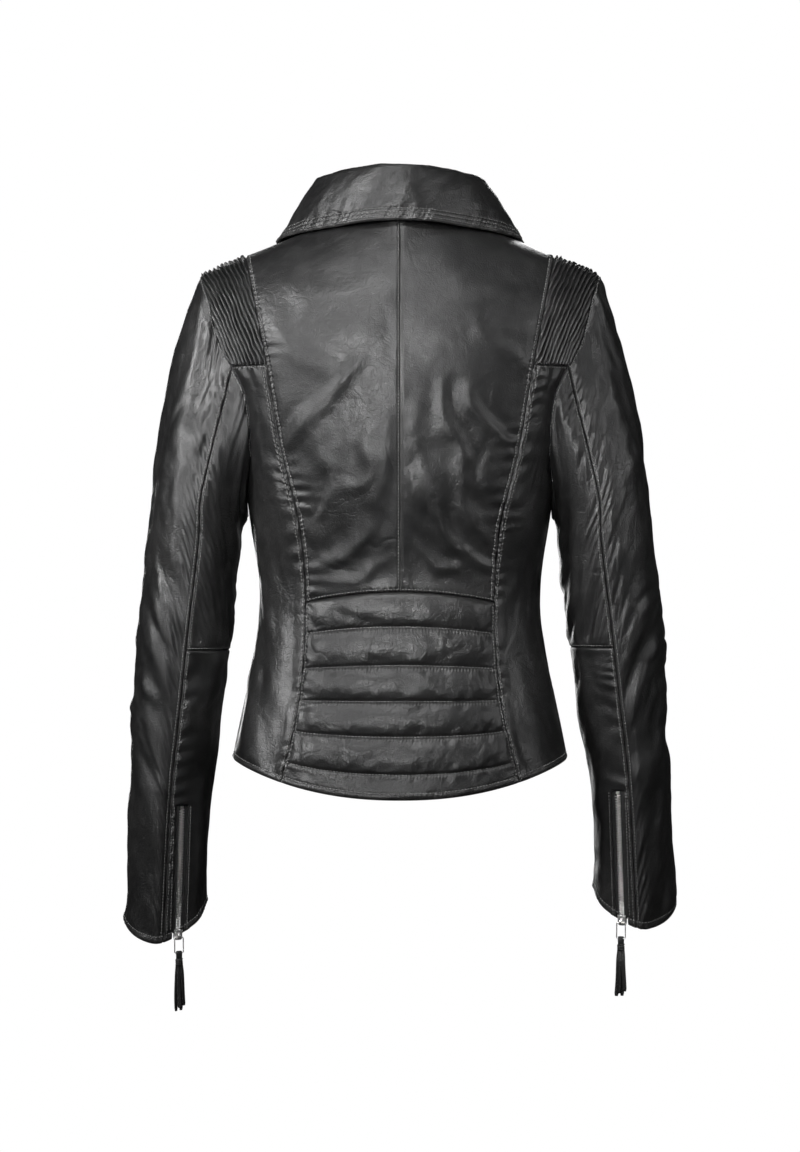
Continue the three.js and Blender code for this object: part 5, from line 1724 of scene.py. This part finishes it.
@dataclass
class Sleeve:
    """One two-piece sleeve with its lining and cuff."""

    form: SleeveForm
    finishes: Finishes
    thread: Thread
    name: str
    pitch: float = 1.85

    def grid(self, name: str, shares: Grid, angles: Callable[[Grid], Grid]) -> Panel:
        """A panel over shares down the sleeve and angles round it."""
        points = self.form.point(angles(shares), shares[:, None])
        return Panel(name, points, self.form.core(shares)[:, None])

    def wrinkle(self, panel: Panel, seed: int) -> None:
        """Drapes a panel: long folds down the sleeve, slanting ones at the elbow and small creases."""
        z = panel.rest[..., 2]
        upper = smooth((z + 330) / 90)
        elbow = bell(z + 430, 110)
        panel.crumple(seed, 24, 2.0, 4.4, 12, where=0.35 + 0.65 * upper)
        panel.crumple(seed + 1, 36, 2.6, 0.8, 12, where=elbow)
        panel.crumple(seed + 2, 48, 2.6, 1.3, 12)
        panel.crumple(seed + 3, 14, 0.32, 2.4, 9)
        panel.crumple(seed + 5, 7, 0.08, 1.6, 7)
        panel.crease(seed + 4, 24, 0.45, 1.5)

    def finish(self, panel: Panel, seams: Sequence[Seam], node: str, drop: Optional[Grid] = None) -> None:
        """Sews a panel, stitches it and makes it."""
        panel.sew_up(seams, self.thread, f"sleeve_{self.name}")
        piece = panel.build(self.finishes.leather, CUT.leather, drop)
        bend(piece, self.form, "leather", f"{node}_{self.name}")

    def down(self, low: float, high: float) -> Grid:
        """Shares down the sleeve at an even spacing."""
        return evened(lambda t: self.form.point(0.0, t), low, high, self.pitch)

    def round_panel(self, name: str, low: float, high: float, end: float, level: float) -> Panel:
        """A panel between shares of the way down, from the back seam to a ring angle."""
        form, seam = self.form, self.form.seam_angle
        share = evened(lambda s: form.point(mix(seam(level), end, s), level), 0, 1, 2.8, 0.9)
        rows = self.down(low, high)
        return self.grid(f"{name}_{self.name}", rows, lambda t: mix(seam(t)[:, None], end, share[None, :]))

    def build(self) -> None:
        """Makes the sleeve's pieces."""
        form, side = self.form, self.form.side
        back_seam = Seam(Rim.FIRST_COLUMN, (2.8,), 1.5, 0.7, 15, seed=105 + side, wave=5.0)
        front_seam = Seam(Rim.LAST_COLUMN, (), 1.1)
        armhole = Seam(Rim.FIRST_ROW, (2.4,), 1.4, 1.1, 24, seed=107 + side, wave=7.5)
        cuff_hem = Seam(Rim.LAST_ROW, (7.0,), 1.0, 0.4, 8, seed=109 + side, wave=5.5)

        panel = self.round_panel("sleeve_top_panel", 0, 1, UNDER_END - TURN, 0.4)
        self.wrinkle(panel, 111 + side * 5)
        self.finish(panel, [back_seam, front_seam, armhole, cuff_hem], "sleeve_top")

        panel = self.round_panel("sleeve_under_upper_panel", 0, ELBOW_SHARE, UNDER_END, 0.3)
        self.wrinkle(panel, 131 + side * 5)
        elbow = Seam(Rim.LAST_ROW, (1.8,), 1.2, 0.22, 12, seed=135)
        self.finish(panel, [back_seam, front_seam, armhole, elbow], "sleeve_under_upper")

        rows = np.concatenate([self.down(ELBOW_SHARE, form.zip_top), self.down(form.zip_top, 1)])
        rows = np.unique(rows)
        steps = [14, 10, 11, 62]
        slot = (steps[0], steps[0] + steps[1])

        def angles(t: Grid) -> Grid:
            across = (CUT.zip_slot_half, -CUT.zip_slot_half, -CUT.zip_strip_half)
            beside = [form.beside_zip(t, far) for far in across]
            corners = [c[:, None] for c in (form.seam_angle(t), *beside, np.full_like(t, UNDER_END))]
            runs = [mix(a, b, np.arange(n)[None, :] / n) for a, b, n in zip(corners, corners[1:], steps)]
            return np.concatenate([*runs, corners[-1]], axis=1)

        panel = self.grid(f"sleeve_under_lower_panel_{self.name}", rows, angles)
        local = form.zip.local(panel.rest)
        near = 1 - smooth((np.abs(local[..., 0]) - 13) / 12)
        flat = 1 - near * smooth((-panel.rest[..., 2] - 480) / 40)
        panel.crumple(151 + side, 44, 2.4, 1.4, 12, where=flat)
        panel.crumple(153 + side, 15, 0.35, 2.0, 9, where=flat)
        open_rows = rows[:-1] >= form.zip_top - 1e-9
        drop = np.zeros((len(rows) - 1, sum(steps)), bool)
        drop[open_rows, slot[0]:slot[1]] = True
        elbow_under = Seam(Rim.FIRST_ROW, (), 1.2, 0.2, 10, seed=137)
        self.finish(panel, [back_seam, front_seam, elbow_under, cuff_hem], "sleeve_under_lower", drop)
        self.stitch_zip()
        self.build_inside()

    def stitch_zip(self) -> None:
        """Stitches beside the cuff's zip."""
        zip_frame = self.form.zip
        for across in (-CUT.zip_slot_half - 2.0, CUT.zip_slot_half + 2.0):
            y = np.linspace(6, zip_frame.length - 1, 90)
            path = zip_frame.place(stack(across, y, 0.05))
            self.thread.sew(f"sleeve_{self.name}", path, np.broadcast_to(zip_frame.axes[:, 2], path.shape))

    def build_inside(self) -> None:
        """The sleeve's lining and the cuff's facing."""
        form = self.form
        rows = np.linspace(0.955, 0.996, 7)
        around = np.linspace(0, 1, 70)
        start, end = form.beside_zip(rows, -CUT.zip_strip_half), form.seam_angle(rows) + TURN
        angles = mix(start[:, None], end[:, None], around[None, :])
        panel = self.grid(f"cuff_facing_band_{self.name}", rows, lambda _: angles)
        panel.offset -= CUT.leather + CUT.facing_gap
        bend(panel.build(self.finishes.leather, CUT.facing), form, "leather", f"cuff_facing_{self.name}")
        rows = np.linspace(0.03, 0.975, 90)
        around = np.linspace(0, 1, 60)
        angles = form.beside_zip(rows, -CUT.zip_slot_half)[:, None] + around[None, :] * TURN
        panel = self.grid(f"lining_sleeve_cloth_{self.name}", rows, lambda _: angles)
        panel.offset -= CUT.lining_ease
        noise = Noise(163)
        panel.offset += 1.2 * noise(panel.from_first / 30, 4 * np.sin(TURN * around)[None, :])
        bend(panel.build(self.finishes.satin, CUT.lining), form, "lining", f"lining_sleeve_{self.name}")


# ---- collar and lapels
@dataclass
class Collar:
    """The standing collar: a stand inside and the leaf that rolls over it."""

    form: BodyForm
    finishes: Finishes
    thread: Thread
    side_share: float = 0.6
    rows: int = 84

    @staticmethod
    def at(values: Sequence[float], f: Grid) -> Grid:
        """A curve through a value at each of the collar's stations."""
        return through(list(zip([0, 0.15, 0.3, 0.45, 0.6, 0.7, 0.8, 1], values)), f)

    def lines(self, side: int, f: Grid) -> tuple[Grid, Grid, Grid, Grid, Grid]:
        """The neck seam, roll, free edge, outward way and height at shares round to the front."""
        form, nape = self.form, self.form.nape
        x = CUT.neck_half * np.sin(math.pi / 2 * np.minimum(f / self.side_share, 1))
        z = np.minimum(-CUT.neck_drop * (x / CUT.neck_half) ** 2, form.ridge(x))
        behind = form.point(Face.BACK, form.section_angle(x, z), z)
        share = np.clip((f - self.side_share) / (1 - self.side_share), 0, 1)
        z = mix(-CUT.neck_drop, -CUT.gorge_drop, share)
        phi = form.section_angle(form.opening_x(side, z), z)
        over = form.normal(Face.FRONT, phi, z) * ((CUT.leaf + 0.4) * smooth(share * 3))[:, None]
        before = form.point(Face.FRONT, phi, z) + over
        seam = np.where((f <= self.side_share)[:, None], behind, before) + [0, 0, 0.5]
        edge = stack(
            self.at([0, 32, 62, 95, 118, 121, 121, 105], f),
            self.at([nape[1] - 14, nape[1] - 8, -50, -27, 0, 19, 38, 57], f),
            self.at([0, -1, -4, -7, -11, -18, -31, -63], f) - CUT.collar_edge_drop,
        )
        away = unit((edge - seam) * [1, 1, 0])
        high = self.at([CUT.collar_stand, 42, 43, 43, 42, 34, 25, 13], f)
        roll = seam + away * self.at([9, 9, 9, 9, 8, 7, 6, 4.6], f)[:, None] + stack(0, 0, high)
        return seam, roll, edge, away, high

    @staticmethod
    def curve(stations: Sequence[Grid], at: Grid) -> Grid:
        """Smooth lines through the stations, one for each column."""
        tall = np.stack(stations)
        steps = np.linalg.norm(np.diff(tall, axis=0), axis=2).mean(axis=1)
        knots = np.pad(np.cumsum(steps), (1, 0)) / steps.sum()
        flat = tall.reshape(len(tall), -1)
        lines = [through(list(zip(knots, flat[:, k])), at) for k in range(flat.shape[1])]
        return np.stack(lines, axis=1).reshape(len(at), *tall.shape[1:])

    def grid(self, name: str, pick: Callable[..., Sequence[Grid]], rows: int, columns: int) -> Panel:
        """A panel round the neck through rows picked from the lines."""
        f = np.linspace(-1, 1, columns)
        right = pick(*self.lines(1, np.abs(f)))
        left = pick(*self.lines(-1, np.abs(f)))
        stations = [np.where((f < 0)[:, None], a * [-1, 1, 1], b) for a, b in zip(left, right)]
        points = self.curve(stations, np.linspace(0, 1, rows))
        reach = columns // 22
        padded = np.pad(points, ((0, 0), (reach, reach), (0, 0)), mode="edge")
        eased = sum(padded[:, k:k + columns] for k in range(2 * reach + 1)) / (2 * reach + 1)
        points = mix(points, eased, bell(f, 0.11)[None, :, None])
        panel = Panel(name, points, points)
        panel.flip = True
        panel.normals = unit(np.cross(np.gradient(points, axis=0), np.gradient(points, axis=1)))
        outward = panel.normals[-1 if rows > 40 else 0, columns // 2]
        if outward[1] > 0:
            panel.normals, panel.flip = -panel.normals, False
        return panel

    @staticmethod
    def under_roll(roll: Grid, away: Grid, high: Grid) -> Grid:
        """The line where the stand meets the leaf, inside the roll."""
        return roll - away * 4 - stack(0, 0, 0.14 * high + 1.5)

    def build(self) -> None:
        """Makes the stand and the leaf."""
        leather = self.finishes.leather

        def stand_rows(seam: Grid, roll: Grid, edge: Grid, away: Grid, high: Grid) -> Sequence[Grid]:
            top = self.under_roll(roll, away, high)
            return seam, mix(seam, top, 0.5), top

        def leaf_rows(seam: Grid, roll: Grid, edge: Grid, away: Grid, high: Grid) -> Sequence[Grid]:
            over = roll + away * 4 - stack(0, 0, 0.1 * high)
            return self.under_roll(roll, away, high), roll, over, mix(roll, edge, 0.5) + away * 3, edge

        panel = self.grid("collar_stand_band", stand_rows, 30, 260)
        panel.crumple(171, 24, 0.4, reach=8)
        ride(panel.build(leather, CUT.leaf), "shell", "leather", "collar_stand")
        panel = self.grid("collar_leaf", leaf_rows, self.rows, 350)
        panel.crumple(173, 50, 1.6, 0.7, 16)
        panel.crumple(175, 18, 0.4, 0.9, 10)
        panel.crease(176, 26, 0.4, 0.8)
        edge = Seam(Rim.LAST_ROW, (4.0, 8.0, 12.0), 1.1, 0.6, 16, seed=177, wave=5.2)
        fronts = [Seam(rim, (4.0,), 0.9, 0.1, 8) for rim in (Rim.FIRST_COLUMN, Rim.LAST_COLUMN)]
        panel.sew_up([edge, *fronts], self.thread, "shell", TRIM)
        far = panel.distance(Rim.LAST_ROW)
        panel.offset += 0.7 * bell(far - 2.0, 1.8)
        panel.wear_and_highlight += 0.9 * bell(far - 1.2, 1.5)
        ride(panel.build(leather, CUT.leaf), "shell", "leather", "collar")


@dataclass
class Lapels:
    """The lapels folded back on the fronts, with a snap on each."""

    form: BodyForm
    finishes: Finishes
    thread: Thread
    lift: float = 2.9
    snap: tuple[float, float] = (0.86, 0.75)

    def surface(self, side: int, up: Number, out: Number) -> Grid:
        """The front under the lapel, a share up the roll line and a share out from it."""
        up, out = (a.astype(float) for a in np.broadcast_arrays(up, out))
        low = self.form.break_z + 12
        z0 = mix(low, -CUT.gorge_drop - 6, up)
        x0 = self.form.opening_x(side, z0) + 1
        x1 = mix(float(self.form.opening_x(side, low)) + 12, CUT.lapel_tip[0], up)
        z1 = mix(low, CUT.lapel_tip[1], up)
        x, z = mix(x0, x1, out) + 6 * np.sin(math.pi * up) * out, mix(z0, z1, out)
        points = self.form.point(Face.FRONT, self.form.section_angle(x, z), z) * [side, 1, 1]
        return self.form.main_zip.press(self.form.pocket_zips[side].press(points))

    def build(self) -> None:
        """Makes both lapels and their snaps."""
        for name, side in SIDES.items():
            up, out = np.linspace(0, 1, 110), np.linspace(0, 1, 62)
            panel = Panel(f"lapel_leaf_{name}", self.surface(side, up[:, None], out[None, :]))
            panel.offset += self.lift
            panel.crumple(181 + side, 38, 1.1, reach=16)
            edge = Seam(Rim.LAST_COLUMN, (4.0, 8.0), 1.0, 0.16, 12, seed=183 + side)
            panel.sew_up([edge, Seam(Rim.LAST_ROW, (4.0,), 0.9, 0.1, 8)], self.thread, "shell", TRIM)
            ride(panel.build(self.finishes.leather, CUT.leaf), "shell", "leather", f"lapel_{name}")
            self.place_snap(name, side)

    def place_snap(self, name: str, side: int) -> None:
        """Makes a snap's cap, turned about the leather's own direction."""
        up, along = np.array([0, 0.01, 0]) + self.snap[0], np.array([0, 0, 0.01]) + self.snap[1]
        near = self.surface(side, up, along)
        out = unit(np.cross(near[1] - near[0], near[2] - near[0]))
        out = out if out[1] > 0 else -out
        frame = ZipFrame.between(near[0], near[0] + [0, 0, 1.0] - out * out[2], out)
        radii = np.array([6.2, 6.2, 5.9, 5.2, 4.7, 4.5, 4.2, 3.2, 1.8, 0.02])
        highs = np.array([0, 0.5, 1.1, 1.6, 1.7, 1.45, 1.5, 1.75, 1.95, 2.0]) + self.lift + 0.3
        angle = np.linspace(0, TURN, 49)
        local = stack(radii[:, None] * np.cos(angle), radii[:, None] * np.sin(angle), highs[:, None])
        piece = f"lapel_snap_cap_{name}"
        cap = new_object(piece, grid_mesh(piece, frame.place(local), weld=True), self.finishes.nickel)
        ride(cap, "shell", "nickel", f"lapel_snap_{name}")


# ---- zips
@dataclass
class Zips:
    """Every zip with its tapes, teeth, slider, ring pull and tassel."""

    form: BodyForm
    finishes: Finishes
    pitch: float = 2.5
    sink: float = 2.0
    pocket_sink: float = 2.4
    ring: tuple[float, float, float] = (10.0, 15.0, 1.1)
    bail: tuple[float, float] = (-2.6, 3.4)
    strips: tuple[tuple[float, float, float, float], ...] = (
        (-3.6, -56, 4.2, 0.2),
        (-0.9, -53, 3.9, 1.2),
        (1.6, -55.5, 3.9, -0.7),
        (4.0, -51, 4.0, 0.6),
    )

    def __post_init__(self) -> None:
        """Makes the shapes that repeat, in millimetres."""
        head = block_mesh("tooth_head", (2.4, 0.85, 1.9), 0.22, 2)
        foot = block_mesh("tooth_foot", (1.7, 1.0, 2.3), 0.26, 2)
        self.tooth = joined("tooth", [(head, self.shift(0.15, 0, 0)), (foot, self.shift(1.95, 0, 0))])

    @staticmethod
    def shift(x: float, y: float, z: float) -> np.ndarray:
        """The matrix of a move."""
        matrix = np.eye(4)
        matrix[:3, 3] = x, y, z
        return matrix

    def teeth(self, name: str, frame: ZipFrame, sideways: int, low: float, high: float, sink: float) -> Mesh:
        """One side's teeth."""
        start = low + 0.7 + (0 if sideways > 0 else self.pitch / 2)
        spots = np.arange(start, high - 0.5, self.pitch)
        places = [frame_matrix(frame, (0, y, -sink), sideways < 0) for y in spots]
        return joined(name, [(self.tooth, place) for place in places])

    def tape(self, name: str, frame: ZipFrame, sideways: int, low: float, high: float, sink: float) -> Mesh:
        """One side's woven tape with the cord at its inner edge."""
        across = np.array([2.0, 2.3, 2.7, 3.1, 3.4, 3.8, 4.6, 6, 8, 10, 11.8, 12])
        lift = np.array([0, 0.55, 0.75, 0.55, 0.25, 0.15, 0.15, 0.25, 0.15, 0.2, 0.2, 0])
        over = np.concatenate([across, across[::-1]]) * sideways
        thick = np.concatenate([lift, -lift[::-1]])
        y = np.linspace(low, high, 40)
        left = (1 - (y - low) / (high - low))[:, None]
        rise = 0.5 * np.maximum(np.abs(over) - 3, 0)[None, :] * left
        local = stack(over[None, :], y[:, None] + rise, thick[None, :] - sink)
        return grid_mesh(name, frame.place(local), weld=True)

    def slider(self, name: str, frame: ZipFrame, end: int, y: float, sink: float) -> Mesh:
        """A slider with its plates, post, flanges and bail."""
        parts = []
        for level in (-1, 1):
            parts.append(self.plate(frame, end, y, level * 1.85 - sink))
            for s in (-1, 1):
                block = block_mesh("flange", (0.8, 5.5, 1.5), 0.22, 2)
                parts.append((block, frame_matrix(frame, (s * 3.6, y - end * 1.75, level * 1.35 - sink))))
        post = block_mesh("post", (1.8, 2.4, 4.4), 0.3, 2)
        parts.append((post, frame_matrix(frame, (0, y + end * 4.2, -sink))))
        turn = np.linspace(0, math.pi, 17)
        arch = stack(0, 2.6 * np.cos(turn), 2.6 + 2.4 * np.sin(turn) ** 0.7)
        path = np.concatenate([[[0, 2.6, 1.9]], arch, [[0, -2.6, 1.9]]]) + [0, y - 1.6, -sink]
        bar = grid_mesh("bail", frame.place(rod(path, 1.0, 0.42, 14, squareness=0.6)), weld=True)
        parts.append((bar, None))
        return joined(name, parts)

    def plate(self, frame: ZipFrame, end: int, y: float, z: float) -> tuple[Mesh, None]:
        """A slider's plate, narrower where the chain leaves it."""
        angle = np.linspace(0, TURN, 41)
        c, s = np.cos(angle), np.sin(angle)
        round_x = np.sign(c) * np.abs(c) ** 0.5
        round_y = np.sign(s) * np.abs(s) ** 0.5
        half = 4.0 - 0.9 * smooth((-round_y + 0.2) / 1.2)
        upper = [(0.01, 0.46), (0.86, 0.46), (0.96, 0.38), (1.0, 0.25)]
        rings = upper + [(k, -h) for k, h in reversed(upper)]
        local = [stack(half * round_x * k, end * 0.5 + end * 5.0 * round_y * k + y, z + h) for k, h in rings]
        return grid_mesh("plate", frame.place(np.stack(local)), weld=True), None

    def hang(self, frame: ZipFrame, y: float, sink: float) -> ZipFrame:
        """The frame in which a slider's ring hangs."""
        return frame.plumb((0, y + self.bail[0], self.bail[1] - sink))

    def ring_mesh(self, name: str, hanging: ZipFrame) -> Mesh:
        """The rectangular ring pull."""
        wide, long, bar = self.ring
        half, corner = wide / 2 - bar / 2, 1.4
        side, low = half - corner, -long + corner
        centres = [(side, -corner, 0), (-side, -corner, 90), (-side, low, 180), (side, low, 270)]
        path = []
        for x, y, start in centres:
            for turn in np.radians(start + np.linspace(0, 90, 7)):
                path.append((x + corner * math.cos(turn), y + corner * math.sin(turn), 0))
        points = rod(np.array(path), bar / 2, bar / 2, 12, np.array([0, 0, 1.0]), closed=True, squareness=0.8)
        return grid_mesh(name, hanging.place(points), weld=True)

    def tassel(self, name: str, hanging: ZipFrame, seed: int) -> Mesh:
        """The knotted leather strap: a loop round the ring, a wrapped knot and its tails."""
        rng = np.random.default_rng(seed)
        base = np.array([0, -self.ring[1], 0])
        turn = np.linspace(0, math.pi, 13)
        leg = np.array([[0, -8, 1.1], [0, -5, 1.5], [0, -2, 1.75]])
        over = np.concatenate([leg, stack(0, 1.6 * np.sin(turn), 1.6 * np.cos(turn)), leg[::-1] * [1, 1, -1]])
        parts = [rod(over + base, 2.6, 0.5, 12, squareness=0.6)]
        angle = np.linspace(0, TURN, 33)[:-1]
        for k, y in enumerate((-6.3, -7.9, -9.5, -11.0)):
            tilt = 0.5 * math.cos(2.1 * k)
            ring = stack(3.1 * np.cos(angle), y + tilt * np.cos(angle), 1.7 * np.sin(angle)) + base
            parts.append(rod(ring, 0.75, 0.95, 10, np.array([0, 0, 1.0]), closed=True))
        for x, low, wide, z in self.strips:
            f = np.linspace(0, 1, 34)
            sway = 0.9 * rng.uniform(-1, 1) * np.sin(f * rng.uniform(3, 5)) * f
            lift = z * smooth(f * 3) + 0.55 * rng.uniform(-1, 1) * np.sin(f * 5)
            path = stack(x * (0.55 + 0.5 * f**0.8) + sway, mix(-9.5, low, f), lift)
            width = wide / 2 * (0.75 + 0.25 * smooth(f * 4)) * (1 - 0.3 * smooth((f - 0.94) / 0.06))
            across = stack(np.cos(0.3 * rng.uniform(-1, 1) + f), 0, 0.35 * np.sin(f * 2 + x))
            parts.append(rod(path + base, width, 0.62, 12, across, squareness=0.5))
        meshes = [(grid_mesh("tassel_part", hanging.place(points), weld=True), None) for points in parts]
        return joined(name, meshes)

    def metal(self, name: str, mesh: Mesh, body: str, slot: str, *nodes: str) -> None:
        """Puts a metal piece on its body."""
        ride(new_object(name, mesh, self.finishes.nickel), body, slot, *nodes)

    def fit_slider(self, name: str, frame: ZipFrame, end: int, y: float, sink: float, seed: int = 0) -> None:
        """Makes a slider, its ring and, where it has a seed, its tassel."""
        piece, body = f"{name}_slider_body", f"{name}_slider"
        self.metal(piece, self.slider(piece, frame, end, y, sink), body, "nickel", body)
        hanging = self.hang(frame, y, sink)
        piece = f"{name}_pull_ring"
        self.metal(piece, self.ring_mesh(piece, hanging), f"{name}_pull", "nickel", f"{name}_pull")
        if seed:
            piece = f"{name}_tassel_strap"
            strap = new_object(piece, self.tassel(piece, hanging, seed), self.finishes.leather)
            ride(strap, f"{name}_tassel", "tassel", f"{name}_tassel")

    def fit_chain(
        self,
        name: str,
        frame: ZipFrame,
        sideways: int,
        span: tuple[float, float],
        body: str,
        sink: float,
        node: Optional[str],
    ) -> None:
        """Makes one side's teeth and tape."""
        low, high = span
        teeth = self.teeth(f"{name}_teeth", frame, sideways, low, high, sink)
        self.metal(f"{name}_teeth", teeth, body, "zip_teeth", *([node] if node else []))
        tape = self.tape(f"{name}_tape", frame, sideways, low - 1, high + 4, sink)
        ride(new_object(f"{name}_tape", tape, self.finishes.tape), body, None)

    def pocket_bag(self, name: str, frame: ZipFrame) -> None:
        """The pocket's bag, a flat pouch behind its zip."""
        high = CUT.pocket_zip_length
        top = -self.pocket_sink - 0.6
        back = -self.pocket_sink - 3.9
        x = np.array([10.4, 10.4, 12.8, 13, 10, 0])
        z = np.array([top, back + 1.2, back + 0.6, back, back - 0.3, back - 0.4])
        x, z = np.concatenate([-x, x[-2::-1]]), np.concatenate([z, z[-2::-1]])
        y = np.linspace(-13.5, high - 0.5, 40)
        inside = smooth((y - 4) / 3) * smooth((high - 4 - y) / 3)
        z = np.where(z[None, :] > back + 0.7, mix(back + 0.6, z[None, :], inside[:, None]), z[None, :])
        mesh = grid_mesh(f"pocket_bag_pouch_{name}", frame.place(stack(x[None, :], y[:, None], z)))
        piece = new_object(f"pocket_bag_pouch_{name}", mesh, self.finishes.satin)
        ride(walled(piece, 0.5, 0.0), "shell", "lining", f"pocket_bag_{name}")

    def build(self, sleeves: dict[str, SleeveForm]) -> None:
        """Makes every zip.

        Args:
            sleeves: Each sleeve's form, by its side's name.
        """
        top = CUT.cuff_zip_length - 4
        for seed, (name, side) in enumerate(SIDES.items(), 3):
            frame, body = sleeves[name].zip, f"sleeve_{name}"
            for place, sideways in (("outer", side), ("inner", -side)):
                node = f"cuff_zip_{place}_{name}"
                self.fit_chain(node, frame, sideways, (2.5, top), body, self.sink, node)
            piece, block = f"cuff_stop_block_{name}", block_mesh("stop", (3.8, 2.6, 3.0), 0.4)
            stop = joined(piece, [(block, frame_matrix(frame, (0, top + 1.7, -self.sink)))])
            self.metal(piece, stop, body, "nickel", f"cuff_stop_{name}")
            self.fit_slider(f"cuff_{name}", frame, -1, 1.5, self.sink, seed)
            pocket = self.form.pocket_zips[side]
            for part, sideways, node in (("a", 1, f"pocket_zip_{name}"), ("b", -1, None)):
                span = (2.0, CUT.pocket_zip_length - 4)
                piece = f"pocket_zip_{part}_{name}"
                self.fit_chain(piece, pocket, sideways, span, "shell", self.pocket_sink, node)
            self.fit_slider(f"pocket_{name}", pocket, 1, CUT.pocket_zip_length - 1.5, self.pocket_sink)
            self.pocket_bag(name, pocket)
            main = self.form.main_zip
            node, span = f"front_zip_{name}", (5.5, main.length - 3)
            self.fit_chain(node, main, -side, span, "shell", self.sink, node)
        self.fit_slider("front", main, 1, main.length - 4.5, self.sink, 7)
        block = block_mesh("box", (8.4, 3.8, 3.6), 0.5, 3)
        box = joined("front_retainer_box", [(block, frame_matrix(main, (0, 2.3, -self.sink)))])
        self.metal("front_retainer_box", box, "shell", "nickel", "front_retainer")


# ---- studio
@dataclass(frozen=True)
class Softbox:
    """A rectangular light."""

    name: str
    at: tuple[float, float, float]
    aim: tuple[float, float, float]
    size: tuple[float, float]
    power: float
    spread: float = 180.0

    def place(self) -> None:
        """Hangs the light, out of the camera's sight."""
        data = bpy.data.lights.new(self.name, "AREA")
        data.shape, data.size, data.size_y, data.energy = "RECTANGLE", *self.size, self.power
        data.spread = math.radians(self.spread)
        light = bpy.data.objects.new(self.name, data)
        bpy.context.scene.collection.objects.link(light)
        light.location = self.at
        light.rotation_euler = (Vector(self.aim) - Vector(self.at)).to_track_quat("-Z", "Y").to_euler()
        light.visible_camera = False


@dataclass
class Studio:
    """White surroundings, soft lights and the camera behind the jacket."""

    camera_at: tuple[float, float, float] = (0.0, -3.0, -0.35)
    lens: float = 96.7
    ambient: float = 0.02
    boxes: tuple[Softbox, ...] = (
        Softbox("overhead", (-0.15, -1.25, 1.15), (0.0, -0.08, -0.2), (1.3, 0.5), 3.3, 66.0),
        Softbox("key", (-0.45, -2.7, 0.2), (-0.05, 0.0, -0.23), (0.9, 0.7), 1.4, 20.0),
        Softbox("top", (0.0, -0.25, 1.5), (0.0, -0.05, -0.4), (1.2, 0.5), 4.4),
        Softbox("strip_left", (-1.5, -1.0, 0.35), (-0.22, 0.0, -0.2), (0.26, 0.9), 3.4, 56.0),
        Softbox("strip_right", (1.5, -0.85, 0.25), (0.2, 0.0, -0.25), (0.2, 0.9), 1.1, 80.0),
        Softbox("fill", (0.9, -2.6, -0.9), (0.0, 0.0, -0.5), (0.9, 0.9), 0.7),
        Softbox("front", (0.2, 2.3, 0.9), (0.0, 0.0, -0.3), (1.2, 0.8), 5.0, 80.0),
        Softbox("front_low", (-0.7, 2.6, -0.2), (0.0, 0.0, -0.4), (0.5, 1.2), 1.4, 60.0),
    )

    def build(self) -> None:
        """Sets up the world, the lights, the floor and the camera."""
        scene = bpy.context.scene
        world = bpy.data.worlds.new("white")
        scene.world = world
        world.use_nodes = True
        tree = world.node_tree
        tree.nodes.clear()
        path = tree.nodes.new("ShaderNodeLightPath")
        both = tree.nodes.new("ShaderNodeMixShader")
        output = tree.nodes.new("ShaderNodeOutputWorld")
        for slot, strength in ((1, self.ambient), (2, 1.0)):
            glow = tree.nodes.new("ShaderNodeBackground")
            glow.inputs["Color"].default_value = (1, 1, 1, 1)
            glow.inputs["Strength"].default_value = strength
            tree.links.new(glow.outputs[0], both.inputs[slot])
        tree.links.new(path.outputs["Is Camera Ray"], both.inputs[0])
        tree.links.new(both.outputs[0], output.inputs[0])
        for box in self.boxes:
            box.place()
        self.lay_floor()
        data = bpy.data.cameras.new("camera")
        data.lens, data.sensor_width = self.lens, 36.0
        data.dof.use_dof = False
        camera = bpy.data.objects.new("camera", data)
        scene.collection.objects.link(camera)
        camera.location = self.camera_at
        camera.rotation_euler = (math.pi / 2, 0, 0)
        scene.camera = camera
        scene.view_settings.view_transform = "Standard"

    def lay_floor(self) -> None:
        """A white floor well under the jacket."""
        half = 3.0
        rows = np.linspace(-half, half, 2) * 1000
        points = stack(rows[None, :], rows[:, None], -1000.0)
        recipe = Recipe("floor_white")
        white = recipe.dress(
            Base_Color=(0, 0, 0, 1),
            Emission_Color=(1, 1, 1, 1),
            Emission_Strength=1.0,
            Roughness=1.0,
            Specular_IOR_Level=0.0,
        )
        floor = new_object("floor", grid_mesh("floor", points), white)
        floor.visible_glossy = floor.visible_diffuse = floor.visible_shadow = False


def main() -> None:
    """Builds the whole jacket in its studio."""
    logging.basicConfig(level=logging.INFO, format="%(message)s")
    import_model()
    finishes, thread = Finishes(), Thread()
    form = BodyForm()
    Torso(form, finishes, thread).build()
    sleeves = {name: SleeveForm(form, side) for name, side in SIDES.items()}
    for name, sleeve in sleeves.items():
        Sleeve(sleeve, finishes, thread, name).build()
    Collar(form, finishes, thread).build()
    Lapels(form, finishes, thread).build()
    Zips(form, finishes).build(sleeves)
    for body, piece in thread.build(finishes.thread).items():
        if body == "shell":
            ride(piece, body, None)
        else:
            bend(piece, sleeves[body.removeprefix("sleeve_")], None)
    Studio().build()
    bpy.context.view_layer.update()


if __name__ == "__main__":
    main()
